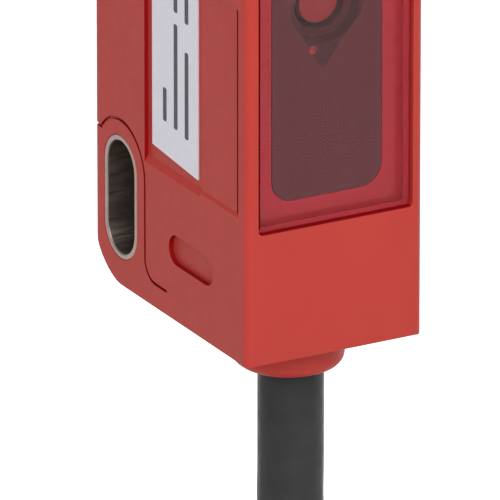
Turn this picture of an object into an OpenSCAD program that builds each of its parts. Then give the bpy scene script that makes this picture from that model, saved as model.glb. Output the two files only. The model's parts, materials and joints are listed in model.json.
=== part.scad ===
// Miniature photoelectric sensor: a moulded cuboid housing with two metal-lined
// mounting holes, a tinted front window over a laser and lens carrier, two screwdriver
// adjusters and an indicator window on top, and a moulded-in cable at the bottom.
// Millimetres. The origin is the middle of the upper mounting hole: -Y is the beam's
// way out, -X is the label side, +Z is up.

/* [Housing] */
// Width across the two mounting faces
body_w = 11.4; // [11:0.1:14]
// Depth from the back to the front rim
body_d = 18.3; // [17.6:0.1:23]
// Height from the bottom to the top, without the cable boss
body_h = 34.2; // [33.6:0.1:42]
// Thickness of the side and back walls
side_wall = 1.0; // [0.8:0.1:1.2]
// Thickness of the front wall below the window
chin_wall = 1.2; // [1:0.1:1.6]
// Thickness of the top wall
top_wall = 1.0; // [0.9:0.1:1.5]
// Thickness of the bottom wall
bottom_wall = 1.2; // [1:0.1:1.8]
// Radius of the two upright front edges
front_edge_r = 0.65; // [0.4:0.05:0.8]
// Radius of the two upright back edges
back_edge_r = 0.8; // [0.5:0.1:1]
// Radius of the back corners seen from the side
heel_r = 4.0; // [3:0.1:4.8]
// Radius of the small outer edges
small_r = 0.15; // [0.1:0.05:0.3]

/* [Mounting holes] */
// Distance between the two mounting holes
hole_spacing = 25.4; // [21:0.1:26]
// Distance of the holes from the back face
hole_from_back = 3.4; // [3.2:0.1:4.2]
// Distance of the upper hole from the top face
hole_from_top = 3.4; // [3.2:0.1:4.1]
// Bore of the sleeves
sleeve_bore = 3.2; // [2.6:0.1:3.9]
// Wall of the sleeves
sleeve_wall = 0.35; // [0.3:0.05:0.5]
// End-to-end length of the slot in the lower sleeve
slot_length = 6.8; // [5.6:0.1:8.2]
// Distance from a sleeve to the groove round it
pad_margin = 0.95; // [0.7:0.05:1.1]
// Width and depth of that groove
groove = 0.18; // [0.1:0.02:0.3]

/* [Front window] */
// Width of the housing's rim beside the window
window_rim = 0.75; // [0.7:0.05:0.9]
// Height of the window's lower edge above the bottom
window_bottom = 7.85; // [6.8:0.05:9.5]
// Width of the housing's rim above the window
window_top_rim = 0.9; // [0.8:0.1:1.4]
// How far the window lies behind the rim
window_sink = 0.3; // [0.2:0.1:0.5]
// Thickness of the window
window_t = 1.1; // [0.8:0.1:1.3]
// Gap round the window
window_gap = 0.06; // [0.03:0.01:0.1]
// Width of the ledge above and below the opening that the window covers
ledge_w = 1.3; // [1:0.1:1.6]
// Width of the ledge beside that opening
ledge_side_w = 1.4; // [1.1:0.1:1.7]
// Thickness of that ledge
ledge_t = 0.8; // [0.6:0.1:1]
// Corner radius of the opening inside the ledge
ledge_r = 1.35; // [1:0.05:1.7]

/* [Side details] */
// Distance of the label's front edge from the housing's front
label_front = 6.0; // [5:0.05:6.6]
// Width of the label
label_w = 5.35; // [4.35:0.1:5.45]
// Height of the label's lower edge above the bottom
label_bottom = 9.35; // [8.05:0.1:11.05]
// Length of the label
label_l = 19.2; // [15:0.1:20]
// Thickness of the label
label_t = 0.1; // [0.05:0.01:0.2]
// Depth of the pocket that holds the label
pocket_t = 0.25; // [0.2:0.01:0.35]
// Length of the finger groove below the label
finger_l = 5.2; // [4:0.1:6.4]
// Height of the finger groove
finger_h = 1.8; // [1.4:0.1:2.2]
// Depth of the finger groove
finger_t = 0.3; // [0.2:0.05:0.5]

/* [Top controls] */
// Diameter of an adjuster's head
adjuster_d = 2.8; // [2.3:0.1:3.4]
// Gap between the two adjusters' flanges
adjuster_gap = 0.6; // [0.4:0.1:1]
// Wall of the bearings that the adjusters turn in
bearing_wall = 0.65; // [0.5:0.05:0.8]
// Gap between those bearings and the bosses of the mounting holes
bearing_gap = 0.8; // [0.6:0.1:1.2]
// Gap between those bearings and the indicator window
indicator_gap = 0.5; // [0.4:0.1:0.8]
// Width of the indicator window
indicator_w = 5.9; // [4.9:0.1:7.1]
// Depth of the indicator window
indicator_d = 3.4; // [2.8:0.1:4.1]
// Radial clearance of the turning parts
running = 0.05; // [0.03:0.01:0.08]

/* [Optics] */
// Distance of the beam's axis below the top face
beam_from_top = 13.9; // [13:0.1:16.7]
// Gap between the carrier and the opening that it goes in by
carrier_gap = 0.05; // [0.03:0.01:0.1]
// Wall between the lens and the carrier's side
lens_wall = 1.4; // [1.1:0.1:1.7]
// Diameter of the emitter's window in the middle of the lens
emitter_d = 2.5; // [2:0.1:3]
// Diameter of the laser's base
laser_d = 3.8; // [3.1:0.1:4.6]

/* [Cable] */
// Diameter of the cable
cable_d = 3.8; // [3.1:0.1:4.6]
// Distance of the cable from the front
cable_from_front = 5.2; // [4.7:0.1:6.3]
// How far the boss stands below the bottom
boss_h = 2.3; // [1.6:0.05:3]
// Wall of the boss
boss_wall = 0.9; // [0.7:0.05:1.1]
// Wall of the grommet between the boss and the cable
grommet_wall = 0.4; // [0.3:0.05:0.5]
// How much longer than wide the boss is
boss_stretch = 0.2; // [0.1:0.1:0.6]
// How far the boss stands off the cable's axis to the label side
boss_shift = 0.15; // [0:0.05:0.3]
// Diameter of one insulated core
core_d = 1.0; // [0.8:0.05:1.2]

/* [Hidden] */
$fn = 48;

RED = [0.72, 0.20, 0.17];
METAL = [0.80, 0.80, 0.80];
BLACK = [0.10, 0.10, 0.11];
BOARD = [0.10, 0.36, 0.20];
GLASS = [0.85, 0.92, 0.95];
BROWN = [0.40, 0.22, 0.12];
WHITE = [0.92, 0.92, 0.90];
BLUE = [0.12, 0.28, 0.68];

// Faces of the housing
front_y = hole_from_back - body_d;
back_y = hole_from_back;
top_z = hole_from_top;
bottom_z = top_z - body_h;
far = 1; // how far a cutter runs past the face that it cuts

// Sleeves and the grooves round them
sleeve_r = sleeve_bore / 2 + sleeve_wall;
slot_run = slot_length - sleeve_bore;
pad_r = sleeve_r + pad_margin;
slot_top_z = -hole_spacing + slot_run / 2;
strip_z = bottom_z + 1.5;      // upper side of the strip along the bottom
strip_front_y = front_y + 9.4; // where the groove along that strip ends
groove_bend_r = 1.2;
notch_y = 0.79 * pad_r;        // where the groove leaves its arc for the back edge
notch_h = sqrt(pad_r * pad_r - notch_y * notch_y);
notch_w = 0.5;
notch_t = 0.8;
back_relief = 0.12;            // how far the back lies behind the two pads' backs

// Window seat and the opening behind it
seat_w = body_w - 2 * window_rim;
seat_z0 = bottom_z + window_bottom;
seat_z1 = top_z - window_top_rim;
seat_r = 0.3;
window_y0 = front_y + window_sink;
ledge_y0 = window_y0 + window_t;
ledge_y1 = ledge_y0 + ledge_t;
opening_w = seat_w - 2 * ledge_side_w;
opening_z0 = seat_z0 + ledge_w;
opening_z1 = seat_z1 - ledge_w;

// Room inside: a front room, and a back room between the two hole pads
room_w = body_w - 2 * side_wall;
room_y1 = -pad_r;
room_z0 = bottom_z + bottom_wall;
room_z1 = top_z - top_wall;
chin_y0 = front_y + chin_wall;
chin_z1 = seat_z0 - 1.0;
back_room_z0 = slot_top_z + pad_r + 0.2;
back_room_z1 = -pad_r - 0.2;

// Label pocket and the shallower panel in front of it
pocket_y0 = front_y + label_front - 0.55;
pocket_y1 = front_y + label_front + label_w + 0.65;
pocket_z0 = bottom_z + label_bottom - 0.4;
pocket_z1 = bottom_z + label_bottom + label_l + 0.4;
label_slant = 0.45;
panel_y0 = front_y + 1.0;
panel_z1 = bottom_z + 21.1;
panel_t = 0.12;
panel_line_w = 0.36;           // groove along the panel's front edge
foot_slope = 1.6;              // run of the pocket's lower wall for each depth
finger_y = front_y + 6.55;
finger_z = bottom_z + 4.36;

// The main board stands in front of the mounting bosses
board_t = 0.8;
board_gap = 0.3;
main_y1 = room_y1 - board_gap;
main_y0 = main_y1 - board_t;

// Carrier of the lens, the splitter and the laser
beam_z = top_z - beam_from_top;
carrier_w = opening_w - 2 * carrier_gap;
lens_d = carrier_w - 2 * lens_wall;
nose_y1 = ledge_y0 + 1.2;
nose_r = ledge_r - carrier_gap;
carrier_z0 = beam_z - 6.8;
carrier_z1 = beam_z + 5.6;
carrier_y1 = main_y0 - 1.6;
leg_r = 0.35;
lens_y1 = ledge_y0 + 3.0;      // the shoulder that the lens rests on
lens_t = 1.5;
lens_edge = 0.7;
ring_t = 0.6;
ring_wall = 0.5;
chamber_half = 2.4;
splitter_y = lens_y1 + 1.6;
splitter_l = 3.4;
splitter_t = 0.4;
chamber_y1 = splitter_y + 1.4;
laser_seat_y = carrier_y1 - 1.2;
laser_cap_r = 1.3;
laser_flange_t = 1.0;
shaft_r = 1.5;                 // the light shaft down to the receiver
receiver_z = beam_z - 6.0;     // underside of the receiver's board
receiver_y0 = splitter_y - 2.2;
receiver_wall = 0.6;
receiver_room = 1.9;
chip_w = 2.6;
chip_t = 0.7;
film_t = 0.15;
slack = 0.1;                   // round pieces that are only laid in place

// Adjusters, as depths below the top face
bearing_r = adjuster_d / 2 + running;
flange_r = adjuster_d / 2 + 0.3;
flange_t = 0.4;
adjuster_x = flange_r + adjuster_gap / 2;
adjuster_y = room_y1 - bearing_gap - bearing_wall - bearing_r;
head_sink = 0.15;
head_t = 0.85;
seal_r = 0.22;
seal_t = 0.55;
neck_r = adjuster_d / 2 - 2 * seal_r - 0.02;
collar_end = 2.85;
bearing_depth = collar_end - running;
shaft_end = 4.6;
stem_r = 0.65 * adjuster_d / 2;
blade_t = 0.4;
blade_l = 1.4;
blade_w = 0.36;
rotor_top = 4.65;
rotor_t = 0.7;
rotor_r = 1.1;
wiper_t = 0.15;
trimmer_top = 4.75;
trimmer_w = 3.0;

// Control board under the adjusters, and its link to the main board
control_z1 = top_z - 6.2;
control_z0 = control_z1 - board_t;
control_y0 = nose_y1 + 0.5;
control_y1 = main_y0 - 0.2;
main_z0 = opening_z0 + 0.25;
main_z1 = control_z1 + 0.4;
header_w = 5;
header_h = 1.2;
header_y0 = main_y0 - 1.3;
pin_r = 0.2;
pin_pitch = 1.0;

// Indicator window and light guides
indicator_plate_t = 0.5;
indicator_plug_end = 1.4;
indicator_lip = 0.5;
indicator_r = 1.0;
indicator_y = adjuster_y - bearing_r - bearing_wall - indicator_gap
    - indicator_d / 2 + indicator_lip;
guide_r = 0.8;
guide_x = 1.3;
led_t = 0.8;
led_gap = 0.1;

// Parts on the back of the main board are placed from the middle of the back room
parts_z = (back_room_z0 + back_room_z1) / 2;

// Cable entry
cable_y = front_y + cable_from_front;
boss_z = bottom_z - boss_h;
boss_rim_r = 0.7;
grommet_r = cable_d / 2 + grommet_wall;
boss_r = grommet_r + boss_wall;
grommet_flange_r = grommet_r + 0.5;
grommet_flange_t = 1.0;
grommet_sink = 0.3;
barrel_r = grommet_r + 0.15;
barrel_t = 1.3;
crimp_r = barrel_r + 0.3;
crimp_t = 1.0;
inlet_z1 = room_z0 + 3.2;
core_ring_r = 0.75 * core_d;
core_angles = [225, 315, 135, 45];
core_pads = [-2.4, 2.4, -0.8, 0.8];

// The cable's way below the boss, drawn for a cable of 3.8: offsets from the exit
lay = cable_d / 3.8;
lead_route = lay * [
    [0, 0, 0], [0, 0, -3], [0, 0, -6], [0, 0, -9], [0.6, 0.3, -13.6], [2.4, 1.1, -18],
    [5.3, 2.5, -21.7], [9, 4.2, -24.6], [11.8, 5.4, -25.9], [16, 7.2, -28.1], [19.5, 8.3, -31.2],
    [21.3, 8.7, -33.8], [22.6, 8.8, -36.7], [24.1, 8.8, -40.9], [25.5, 8.8, -45.1]
];
coil_drop = 54.4 * lay;
coil_r = 23.2 * lay;         // middle of the turns
coil_turn = cable_d + 0.1;   // room of one turn
coil_layers = 3;
coil_columns = 5.5;
coil_inner_r = coil_r - coil_turn * coil_layers / 2;
coil_outer_r = coil_r + coil_turn * coil_layers / 2;
coil_w = coil_turn * coil_columns;
coil_edge_r = cable_d / 2;
tie_t = 1.1;
tie_w = 3.6;
tie_angles = [18, 198];      // of the two ties, from +X towards +Z
// The cable's free end inside the coil: offsets from the coil's middle
tail_route = lay * [
    [19.3, -5.1, 0.7], [18.1, -4.6, -3.7], [15.5, -3.8, -7.5], [12.1, -3, -10.7], [8.5, -2.4, -13]
];
// The four bare-ended cores beyond the end of the jacket, drawn for the same cable
core_ends = [
    [[5, -3.6, -15.2], [1.4, -4.4, -15.8], [-2.2, -5.2, -15.6], [-5.8, -5.6, -14.6]],
    [[4.4, -3.4, -13.2], [1, -3, -13.6], [-2.6, -2.6, -13], [-6, -2.4, -11.8]],
    [[4.4, -1, -13.4], [0.8, 0, -13.6], [-2.8, 0.8, -13], [-6.2, 1.2, -11.8]],
    [[5, -1, -15.4], [1.4, -0.4, -16], [-2.4, 0, -15.8], [-6, 0.2, -14.8]]
];
tip_l = 4;

// ---------------------------------------------------------------- shapes

// A rectangle about the middle, with round corners
module round_rect(w, h, r) {
    square([w - 2 * r, h], center = true);
    square([w, h - 2 * r], center = true);
    for (sx = [-1, 1], sy = [-1, 1])
        translate([sx * (w / 2 - r), sy * (h / 2 - r)]) circle(r);
}

// A slot about the middle, with its long way along the second axis
module stadium(run, r) {
    square([2 * r, run], center = true);
    for (s = [-1, 1]) translate([0, s * run / 2]) circle(r);
}

// What a round corner leaves off: quarter 0 is the upper right one
module corner_waste(at, r, quarter)
    translate(at) rotate(90 * quarter) difference() {
        square(r + far);
        circle(r);
    }

// Raises a Y-Z outline to a plate along X
module along_x(x0, x1)
    translate([x0, 0, 0]) rotate([90, 0, 90]) linear_extrude(x1 - x0) children();

// Raises an X-Z outline to a plate along Y
module along_y(y0, y1)
    translate([0, y1, 0]) rotate([90, 0, 0]) linear_extrude(y1 - y0) children();

// Raises an X-Y outline to a plate along Z
module along_z(z0, z1)
    translate([0, 0, z0]) linear_extrude(z1 - z0) children();

// A box given by its lowest and highest corners
module block(low, high)
    translate(low) cube(high - low);

// A rod along Y
module rod_y(r, y0, y1, x = 0, z = 0)
    translate([x, y1, z]) rotate([90, 0, 0]) cylinder(r = r, h = y1 - y0);

// A rod along Z
module rod_z(r, z0, z1, x = 0, y = 0)
    translate([x, y, z0]) cylinder(r = r, h = z1 - z0);

// A part and its mirror image across the middle plane
module both_sides() {
    children();
    mirror([1, 0, 0]) children();
}

// The points of a ring of the given radius round one point of a route
function along(route, i) =
    let (a = route[max(i - 1, 0)], b = route[min(i + 1, len(route) - 1)]) (b - a) / norm(b - a);
function ring(route, i, r, sides) =
    let (t = along(route, i), n = cross(t, [0, 1, 0]) / norm(cross(t, [0, 1, 0])), b = cross(t, n))
    [for (k = [0 : sides - 1]) route[i] + r * (cos(360 * k / sides) * n + sin(360 * k / sides) * b)];

// A tube swept along a route
module tube(route, r, sides = 8) {
    rings = len(route);
    points = [for (i = [0 : rings - 1]) each ring(route, i, r, sides)];
    first = [for (k = [0 : sides - 1]) k];
    last = [for (k = [sides - 1 : -1 : 0]) (rings - 1) * sides + k];
    walls = [
        for (i = [0 : rings - 2], k = [0 : sides - 1])
            let (a = i * sides + k, b = i * sides + (k + 1) % sides) [a, a + sides, b + sides, b]
    ];
    polyhedron(points, concat([first], [last], walls));
}

// ---------------------------------------------------------------- housing

module side_outline() difference() {
    translate([front_y, bottom_z]) square([body_d, body_h]);
    corner_waste([back_y - heel_r, top_z - heel_r], heel_r, 0);
    corner_waste([front_y + small_r, top_z - small_r], small_r, 1);
    corner_waste([front_y + small_r, bottom_z + small_r], small_r, 2);
    corner_waste([back_y - heel_r, bottom_z + heel_r], heel_r, 3);
}

module plan_outline() difference() {
    translate([-body_w / 2, front_y]) square([body_w, body_d]);
    corner_waste([body_w / 2 - back_edge_r, back_y - back_edge_r], back_edge_r, 0);
    corner_waste([back_edge_r - body_w / 2, back_y - back_edge_r], back_edge_r, 1);
    corner_waste([front_edge_r - body_w / 2, front_y + front_edge_r], front_edge_r, 2);
    corner_waste([body_w / 2 - front_edge_r, front_y + front_edge_r], front_edge_r, 3);
}

module body_block() intersection() {
    along_x(-body_w / 2, body_w / 2) side_outline();
    along_z(bottom_z, top_z) plan_outline();
    translate([0, 0, (bottom_z + top_z) / 2])
        along_y(front_y, back_y) round_rect(body_w, body_h, small_r);
}

// Half of the boss seen from the side, with a round lower rim
module boss_half() {
    translate([0, -boss_h + boss_rim_r]) square([boss_r, boss_h - boss_rim_r + bottom_wall / 2]);
    translate([0, -boss_h]) square([boss_r - boss_rim_r, boss_h]);
    translate([boss_r - boss_rim_r, -boss_h + boss_rim_r]) circle(boss_rim_r);
}

module cable_boss() translate([-boss_shift, cable_y, bottom_z]) {
    for (y = [0, boss_stretch]) translate([0, y, 0]) rotate_extrude() intersection() {
        boss_half();
        translate([0, -boss_h]) square([boss_r, boss_h + bottom_wall]);
    }
    along_y(0, boss_stretch) {
        boss_half();
        mirror([1, 0]) boss_half();
    }
}

// The groove round a sleeve's pad, in the side view: an arc that leads to the back edge
module pad_groove(arc_z) translate([0, arc_z]) {
    intersection() {
        difference() {
            circle(pad_r + groove / 2);
            circle(pad_r - groove / 2);
        }
        translate([-2 * pad_r, 0]) square([2 * pad_r + notch_y, 2 * pad_r]);
    }
    translate([notch_y - groove / 2, notch_h - groove / 2])
        square([back_y - notch_y + groove, groove]);
}

// The same groove where it goes on across the back, with slanting walls
module back_notch(arc_z, way) along_x(-body_w, body_w)
    translate([back_y, arc_z + way * notch_h])
        polygon([
            [-notch_t, 0], [0, -notch_w / 2], [far, -notch_w / 2],
            [far, notch_w / 2], [0, notch_w / 2]
        ]);

// The back face between the two notches, which lies a little deeper than the pads
module back_recess() {
    low = slot_top_z + notch_h;
    translate([-body_w, back_y - back_relief, low]) cube([2 * body_w, far, -notch_h - low]);
}

module lower_groove() {
    bend = [-pad_r - groove_bend_r, strip_z + groove_bend_r];
    pad_groove(slot_top_z);
    translate([-pad_r - groove / 2, bend[1]]) square([groove, slot_top_z - bend[1]]);
    intersection() {
        translate(bend) difference() {
            circle(groove_bend_r + groove / 2);
            circle(groove_bend_r - groove / 2);
        }
        translate([bend[0], bend[1] - 2 * groove_bend_r]) square(2 * groove_bend_r);
    }
    translate([strip_front_y, strip_z - groove / 2]) square([bend[0] - strip_front_y, groove]);
}

module upper_groove() {
    mirror([0, 1]) pad_groove(0);
    translate([-pad_r - groove / 2, 0]) square([groove, top_z - 1]);
}

// A recess of a depth in the left side, whose lower wall slants outwards
module left_recess(depth, y0, y1, z0, z1) {
    floor_x = -body_w / 2 + depth;
    along_x(-body_w / 2 - far, floor_x) translate([y0, z0]) square([y1 - y0, z1 - z0]);
    along_y(y0, y1) polygon([
        [floor_x, z0], [floor_x - depth - far, z0],
        [floor_x - depth - far, z0 - foot_slope * (depth + far)]
    ]);
}

module label_pocket() left_recess(pocket_t, pocket_y0, pocket_y1, pocket_z0, pocket_z1);

module side_panel() {
    left_recess(panel_t, panel_y0, pocket_y0, pocket_z0, panel_z1);
    along_x(-body_w / 2 - far, -body_w / 2 + 2 * panel_t)
        translate([panel_y0, pocket_z0]) square([panel_line_w, panel_z1 - pocket_z0]);
}

module side_cuts() {
    both_sides() along_x(body_w / 2 - groove, body_w / 2 + far) {
        lower_groove();
        upper_groove();
    }
    both_sides() along_x(body_w / 2 - finger_t, body_w / 2 + far)
        translate([finger_y, finger_z]) rotate(90) stadium(finger_l - finger_h, finger_h / 2);
    back_notch(slot_top_z, 1);
    back_notch(0, -1);
    back_recess();
    label_pocket();
    side_panel();
}

module sleeve_holes() {
    along_x(-body_w, body_w) circle(sleeve_r);
    along_x(-body_w, body_w) translate([0, -hole_spacing]) stadium(slot_run, sleeve_r);
}

module window_seat() {
    translate([0, 0, (seat_z0 + seat_z1) / 2])
        along_y(front_y - far, ledge_y0) round_rect(seat_w, seat_z1 - seat_z0, seat_r);
    translate([0, 0, (opening_z0 + opening_z1) / 2])
        along_y(ledge_y0 - far / 2, ledge_y1 + far / 2)
            round_rect(opening_w, opening_z1 - opening_z0, ledge_r);
}

module rooms() {
    block([-room_w / 2, chin_y0, room_z0], [room_w / 2, ledge_y1 + far, chin_z1]);
    block([-room_w / 2, ledge_y1, room_z0], [room_w / 2, room_y1, room_z1]);
    block(
        [-room_w / 2, room_y1 - far, back_room_z0],
        [room_w / 2, back_y - side_wall, back_room_z1]
    );
}

module bearings() for (s = [-1, 1])
    rod_z(bearing_r + bearing_wall, top_z - bearing_depth, top_z - top_wall / 2,
        s * adjuster_x, adjuster_y);

module top_cuts() {
    for (s = [-1, 1])
        rod_z(bearing_r, top_z - bearing_depth - far, top_z + far, s * adjuster_x, adjuster_y);
    translate([0, indicator_y, 0]) {
        along_z(top_z - indicator_plate_t, top_z + far)
            round_rect(indicator_w, indicator_d, indicator_r);
        along_z(room_z1 - far, top_z)
            round_rect(indicator_w - 2 * indicator_lip, indicator_d - 2 * indicator_lip,
                indicator_r - indicator_lip / 2);
    }
}

module housing() color(RED) difference() {
    union() {
        difference() {
            union() {
                body_block();
                cable_boss();
            }
            rooms();
        }
        bearings();
    }
    rod_z(grommet_r, boss_z - far, room_z0 + far, 0, cable_y);
    window_seat();
    sleeve_holes();
    side_cuts();
    top_cuts();
}

module front_window() color([0.55, 0.08, 0.12, 0.6])
    translate([0, 0, (seat_z0 + seat_z1) / 2])
        along_y(window_y0, ledge_y0)
            round_rect(seat_w - 2 * window_gap, seat_z1 - seat_z0 - 2 * window_gap,
                seat_r - window_gap);

module label() color(WHITE) {
    y0 = front_y + label_front;
    z0 = bottom_z + label_bottom;
    along_x(-body_w / 2 + pocket_t - label_t, -body_w / 2 + pocket_t)
        polygon([
            [y0, z0], [y0 + label_w, z0 + label_slant],
            [y0 + label_w, z0 + label_l], [y0, z0 + label_l]
        ]);
}

module upper_mounting_sleeve() color(METAL)
    along_x(-body_w / 2, body_w / 2) difference() {
        circle(sleeve_r);
        circle(sleeve_bore / 2);
    }

module lower_mounting_sleeve() color(METAL)
    along_x(-body_w / 2, body_w / 2) translate([0, -hole_spacing]) difference() {
        stadium(slot_run, sleeve_r);
        stadium(slot_run, sleeve_bore / 2);
    }

// ---------------------------------------------------------------- top controls

module indicator_window() color([0.85, 0.85, 0.80, 0.6]) translate([0, indicator_y, 0]) {
    along_z(top_z - indicator_plate_t, top_z)
        round_rect(indicator_w, indicator_d, indicator_r);
    along_z(top_z - indicator_plug_end, top_z - indicator_plate_t)
        round_rect(indicator_w - 2 * indicator_lip, indicator_d - 2 * indicator_lip,
            indicator_r - indicator_lip / 2);
}

module light_guide(side)
    rod_z(guide_r, control_z1 + led_t + led_gap, top_z - indicator_plug_end,
        side * guide_x, indicator_y);

module green_light_guide() color(GLASS) light_guide(-1);
module yellow_light_guide() color(GLASS) light_guide(1);

module led(side)
    block([side * guide_x - 0.8, indicator_y - 0.5, control_z1],
        [side * guide_x + 0.8, indicator_y + 0.5, control_z1 + led_t]);

module green_led() color([0.70, 0.95, 0.70]) led(-1);
module yellow_led() color([0.98, 0.90, 0.50]) led(1);

// The parts of an adjuster are drawn about its axis, at their depth below the top face
module at_adjuster(side)
    translate([side * adjuster_x, adjuster_y, top_z]) children();

module spindle(side) at_adjuster(side) {
    difference() {
        rod_z(adjuster_d / 2, -head_sink - head_t, -head_sink);
        translate([-0.22, -adjuster_d, -head_sink - 0.5]) cube([0.44, 2 * adjuster_d, 1]);
    }
    rod_z(neck_r, -head_sink - head_t - seal_t, -head_sink - head_t);
    rod_z(adjuster_d / 2, -collar_end, -head_sink - head_t - seal_t);
    rod_z(flange_r, -collar_end - flange_t, -collar_end);
    rod_z(stem_r, -shaft_end, -collar_end - flange_t);
    block([-blade_w / 2, -blade_l / 2, -shaft_end - blade_t], [blade_w / 2, blade_l / 2, -shaft_end]);
}

module seal(side) at_adjuster(side)
    translate([0, 0, -head_sink - head_t - seal_t / 2])
        rotate_extrude() translate([neck_r + seal_r, 0]) circle(seal_r);

module rotor(side) at_adjuster(side) difference() {
    rod_z(rotor_r, -rotor_top - rotor_t, -rotor_top);
    translate([-blade_w / 2, -rotor_r, -rotor_top - blade_t - running])
        cube([blade_w, 2 * rotor_r, 1]);
}

module wiper(side) at_adjuster(side) difference() {
    rod_z(rotor_r - 0.15, -rotor_top - rotor_t - wiper_t, -rotor_top - rotor_t);
    translate([0, -0.3, -rotor_top - rotor_t - 2 * wiper_t]) cube([2, 0.6, 1]);
}

// The body of a trimmer: an open well for its rotor
module trimmer(side) at_adjuster(side) difference() {
    block([-trimmer_w / 2, -trimmer_w / 2, control_z1 - top_z],
        [trimmer_w / 2, trimmer_w / 2, -trimmer_top]);
    rod_z(rotor_r + running, -rotor_top - rotor_t - wiper_t - running, 0);
}

module sensitivity_spindle() color([0.93, 0.93, 0.90]) spindle(-1);
module sensitivity_seal() color(BLACK) seal(-1);
module sensitivity_rotor() color(WHITE) rotor(-1);
module sensitivity_wiper() color([0.80, 0.62, 0.35]) wiper(-1);
module sensitivity_trimmer() color([0.15, 0.25, 0.60]) trimmer(-1);
module mode_spindle() color([0.93, 0.93, 0.90]) spindle(1);
module mode_seal() color(BLACK) seal(1);
module mode_rotor() color(WHITE) rotor(1);
module mode_wiper() color([0.80, 0.62, 0.35]) wiper(1);
module mode_switch() color([0.15, 0.15, 0.17]) trimmer(1);

module control_board() color(BOARD)
    block([-carrier_w / 2, control_y0, control_z0], [carrier_w / 2, control_y1, control_z1]);

module board_link_header() color(BLACK) difference() {
    block([-header_w / 2, header_y0, control_z0 - header_h], [header_w / 2, main_y0, control_z0]);
    link_pins();
}

module link_pins() for (i = [-2 : 2])
    rod_y(pin_r, header_y0 - 0.3, main_y1, i * pin_pitch, control_z0 - header_h / 2);

module board_link_pins() color([0.85, 0.70, 0.30]) link_pins();

// ---------------------------------------------------------------- optics

module carrier_nose()
    translate([0, 0, (opening_z0 + opening_z1) / 2])
        along_y(ledge_y0, nose_y1)
            round_rect(carrier_w, opening_z1 - opening_z0 - 2 * carrier_gap, nose_r);

module carrier_body()
    block([-carrier_w / 2, nose_y1, carrier_z0], [carrier_w / 2, carrier_y1, carrier_z1]);

// Legs that hold the boards: two up to the control board, four back to the main board
module carrier_legs() {
    for (s = [-1, 1]) {
        x = s * (carrier_w / 2 - 0.6);
        block([x - 0.5, splitter_y - 1, carrier_z1], [x + 0.5, splitter_y + 0.4, control_z0]);
        for (z = [carrier_z0 + leg_r + 0.05, carrier_z1 - leg_r - 0.05])
            rod_y(leg_r, carrier_y1, main_y0, x, z);
    }
}

module optics_carrier() color(BLACK) difference() {
    union() {
        carrier_nose();
        carrier_body();
        carrier_legs();
    }
    rod_y(lens_d / 2, ledge_y0 - far, lens_y1, 0, beam_z);
    rod_y(lens_d / 2 - ring_wall, lens_y1 - far, splitter_y, 0, beam_z);
    block([-chamber_half, splitter_y - splitter_l / 2, beam_z - chamber_half],
        [chamber_half, chamber_y1, beam_z + chamber_half]);
    rod_y(laser_cap_r + running, chamber_y1 - far, carrier_y1, 0, beam_z);
    rod_y(laser_d / 2, laser_seat_y, carrier_y1 + far, 0, beam_z);
    rod_z(shaft_r, receiver_z, beam_z, 0, splitter_y);
    block([-carrier_w / 2 + receiver_wall, receiver_y0, receiver_z],
        [carrier_w / 2 - receiver_wall, carrier_y1 + far, receiver_z + receiver_room]);
}

module lens_ring() color(BLACK) difference() {
    rod_y(lens_d / 2, lens_y1 - lens_t - ring_t, lens_y1 - lens_t, 0, beam_z);
    rod_y(lens_d / 2 - ring_wall, lens_y1 - lens_t - 2 * ring_t, lens_y1, 0, beam_z);
}

// A plano-convex lens: a disc with a spherical front, clear of the ring in front of it
module collimator_lens() color(GLASS) {
    bulge = lens_t - lens_edge;
    dome_r = (pow(lens_d / 2 - ring_wall, 2) + bulge * bulge) / (2 * bulge);
    rod_y(lens_d / 2, lens_y1 - lens_edge, lens_y1, 0, beam_z);
    intersection() {
        translate([0, lens_y1 - lens_t + dome_r, beam_z]) sphere(dome_r);
        rod_y(lens_d / 2 - ring_wall, lens_y1 - lens_t, lens_y1 - lens_edge, 0, beam_z);
    }
    difference() {
        rod_y(lens_d / 2, lens_y1 - lens_t, lens_y1 - lens_edge, 0, beam_z);
        rod_y(lens_d / 2 - ring_wall, lens_y1 - 2 * lens_t, lens_y1, 0, beam_z);
    }
}

module emitter_window() color([0.80, 0.15, 0.12])
    rod_y(emitter_d / 2, lens_y1 - lens_t - 0.5, lens_y1 - lens_t, 0, beam_z);

module beam_splitter() color(GLASS)
    translate([0, splitter_y, beam_z]) rotate([45, 0, 0])
        cube([2 * chamber_half, splitter_t, splitter_l], center = true);

module laser_can() color([0.80, 0.72, 0.45]) {
    rod_y(laser_d / 2, laser_seat_y, laser_seat_y + laser_flange_t, 0, beam_z);
    rod_y(laser_cap_r, chamber_y1 + slack, laser_seat_y, 0, beam_z);
}

module laser_pin_set() for (a = [90, 210, 330])
    rod_y(pin_r, laser_seat_y + laser_flange_t, main_y1, 0.7 * cos(a), beam_z + 0.7 * sin(a));

module laser_pins() color([0.85, 0.70, 0.30]) laser_pin_set();

module receiver_board() color(BOARD)
    block([-carrier_w / 2 + receiver_wall + slack, receiver_y0 + slack, receiver_z],
        [carrier_w / 2 - receiver_wall - slack, main_y0, receiver_z + board_t]);

module receiver_chip() color([0.16, 0.16, 0.20])
    block([-chip_w / 2, splitter_y - chip_w / 2, receiver_z + board_t],
        [chip_w / 2, splitter_y + chip_w / 2, receiver_z + board_t + chip_t]);

module analyser_film() color([0.35, 0.33, 0.40])
    translate([0, splitter_y, receiver_z + board_t + chip_t])
        rod_z(chip_w / 2, 0, film_t);

// ---------------------------------------------------------------- main board

module main_board() color(BOARD) difference() {
    block([-carrier_w / 2, main_y0, main_z0], [carrier_w / 2, main_y1, main_z1]);
    laser_pin_set();
    link_pins();
}

// A part on the back of the main board, by its middle and its size
module on_board(x, z, w, h, t) translate([x, main_y1, parts_z + z])
    block([-w / 2, 0, -h / 2], [w / 2, t, h / 2]);

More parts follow.
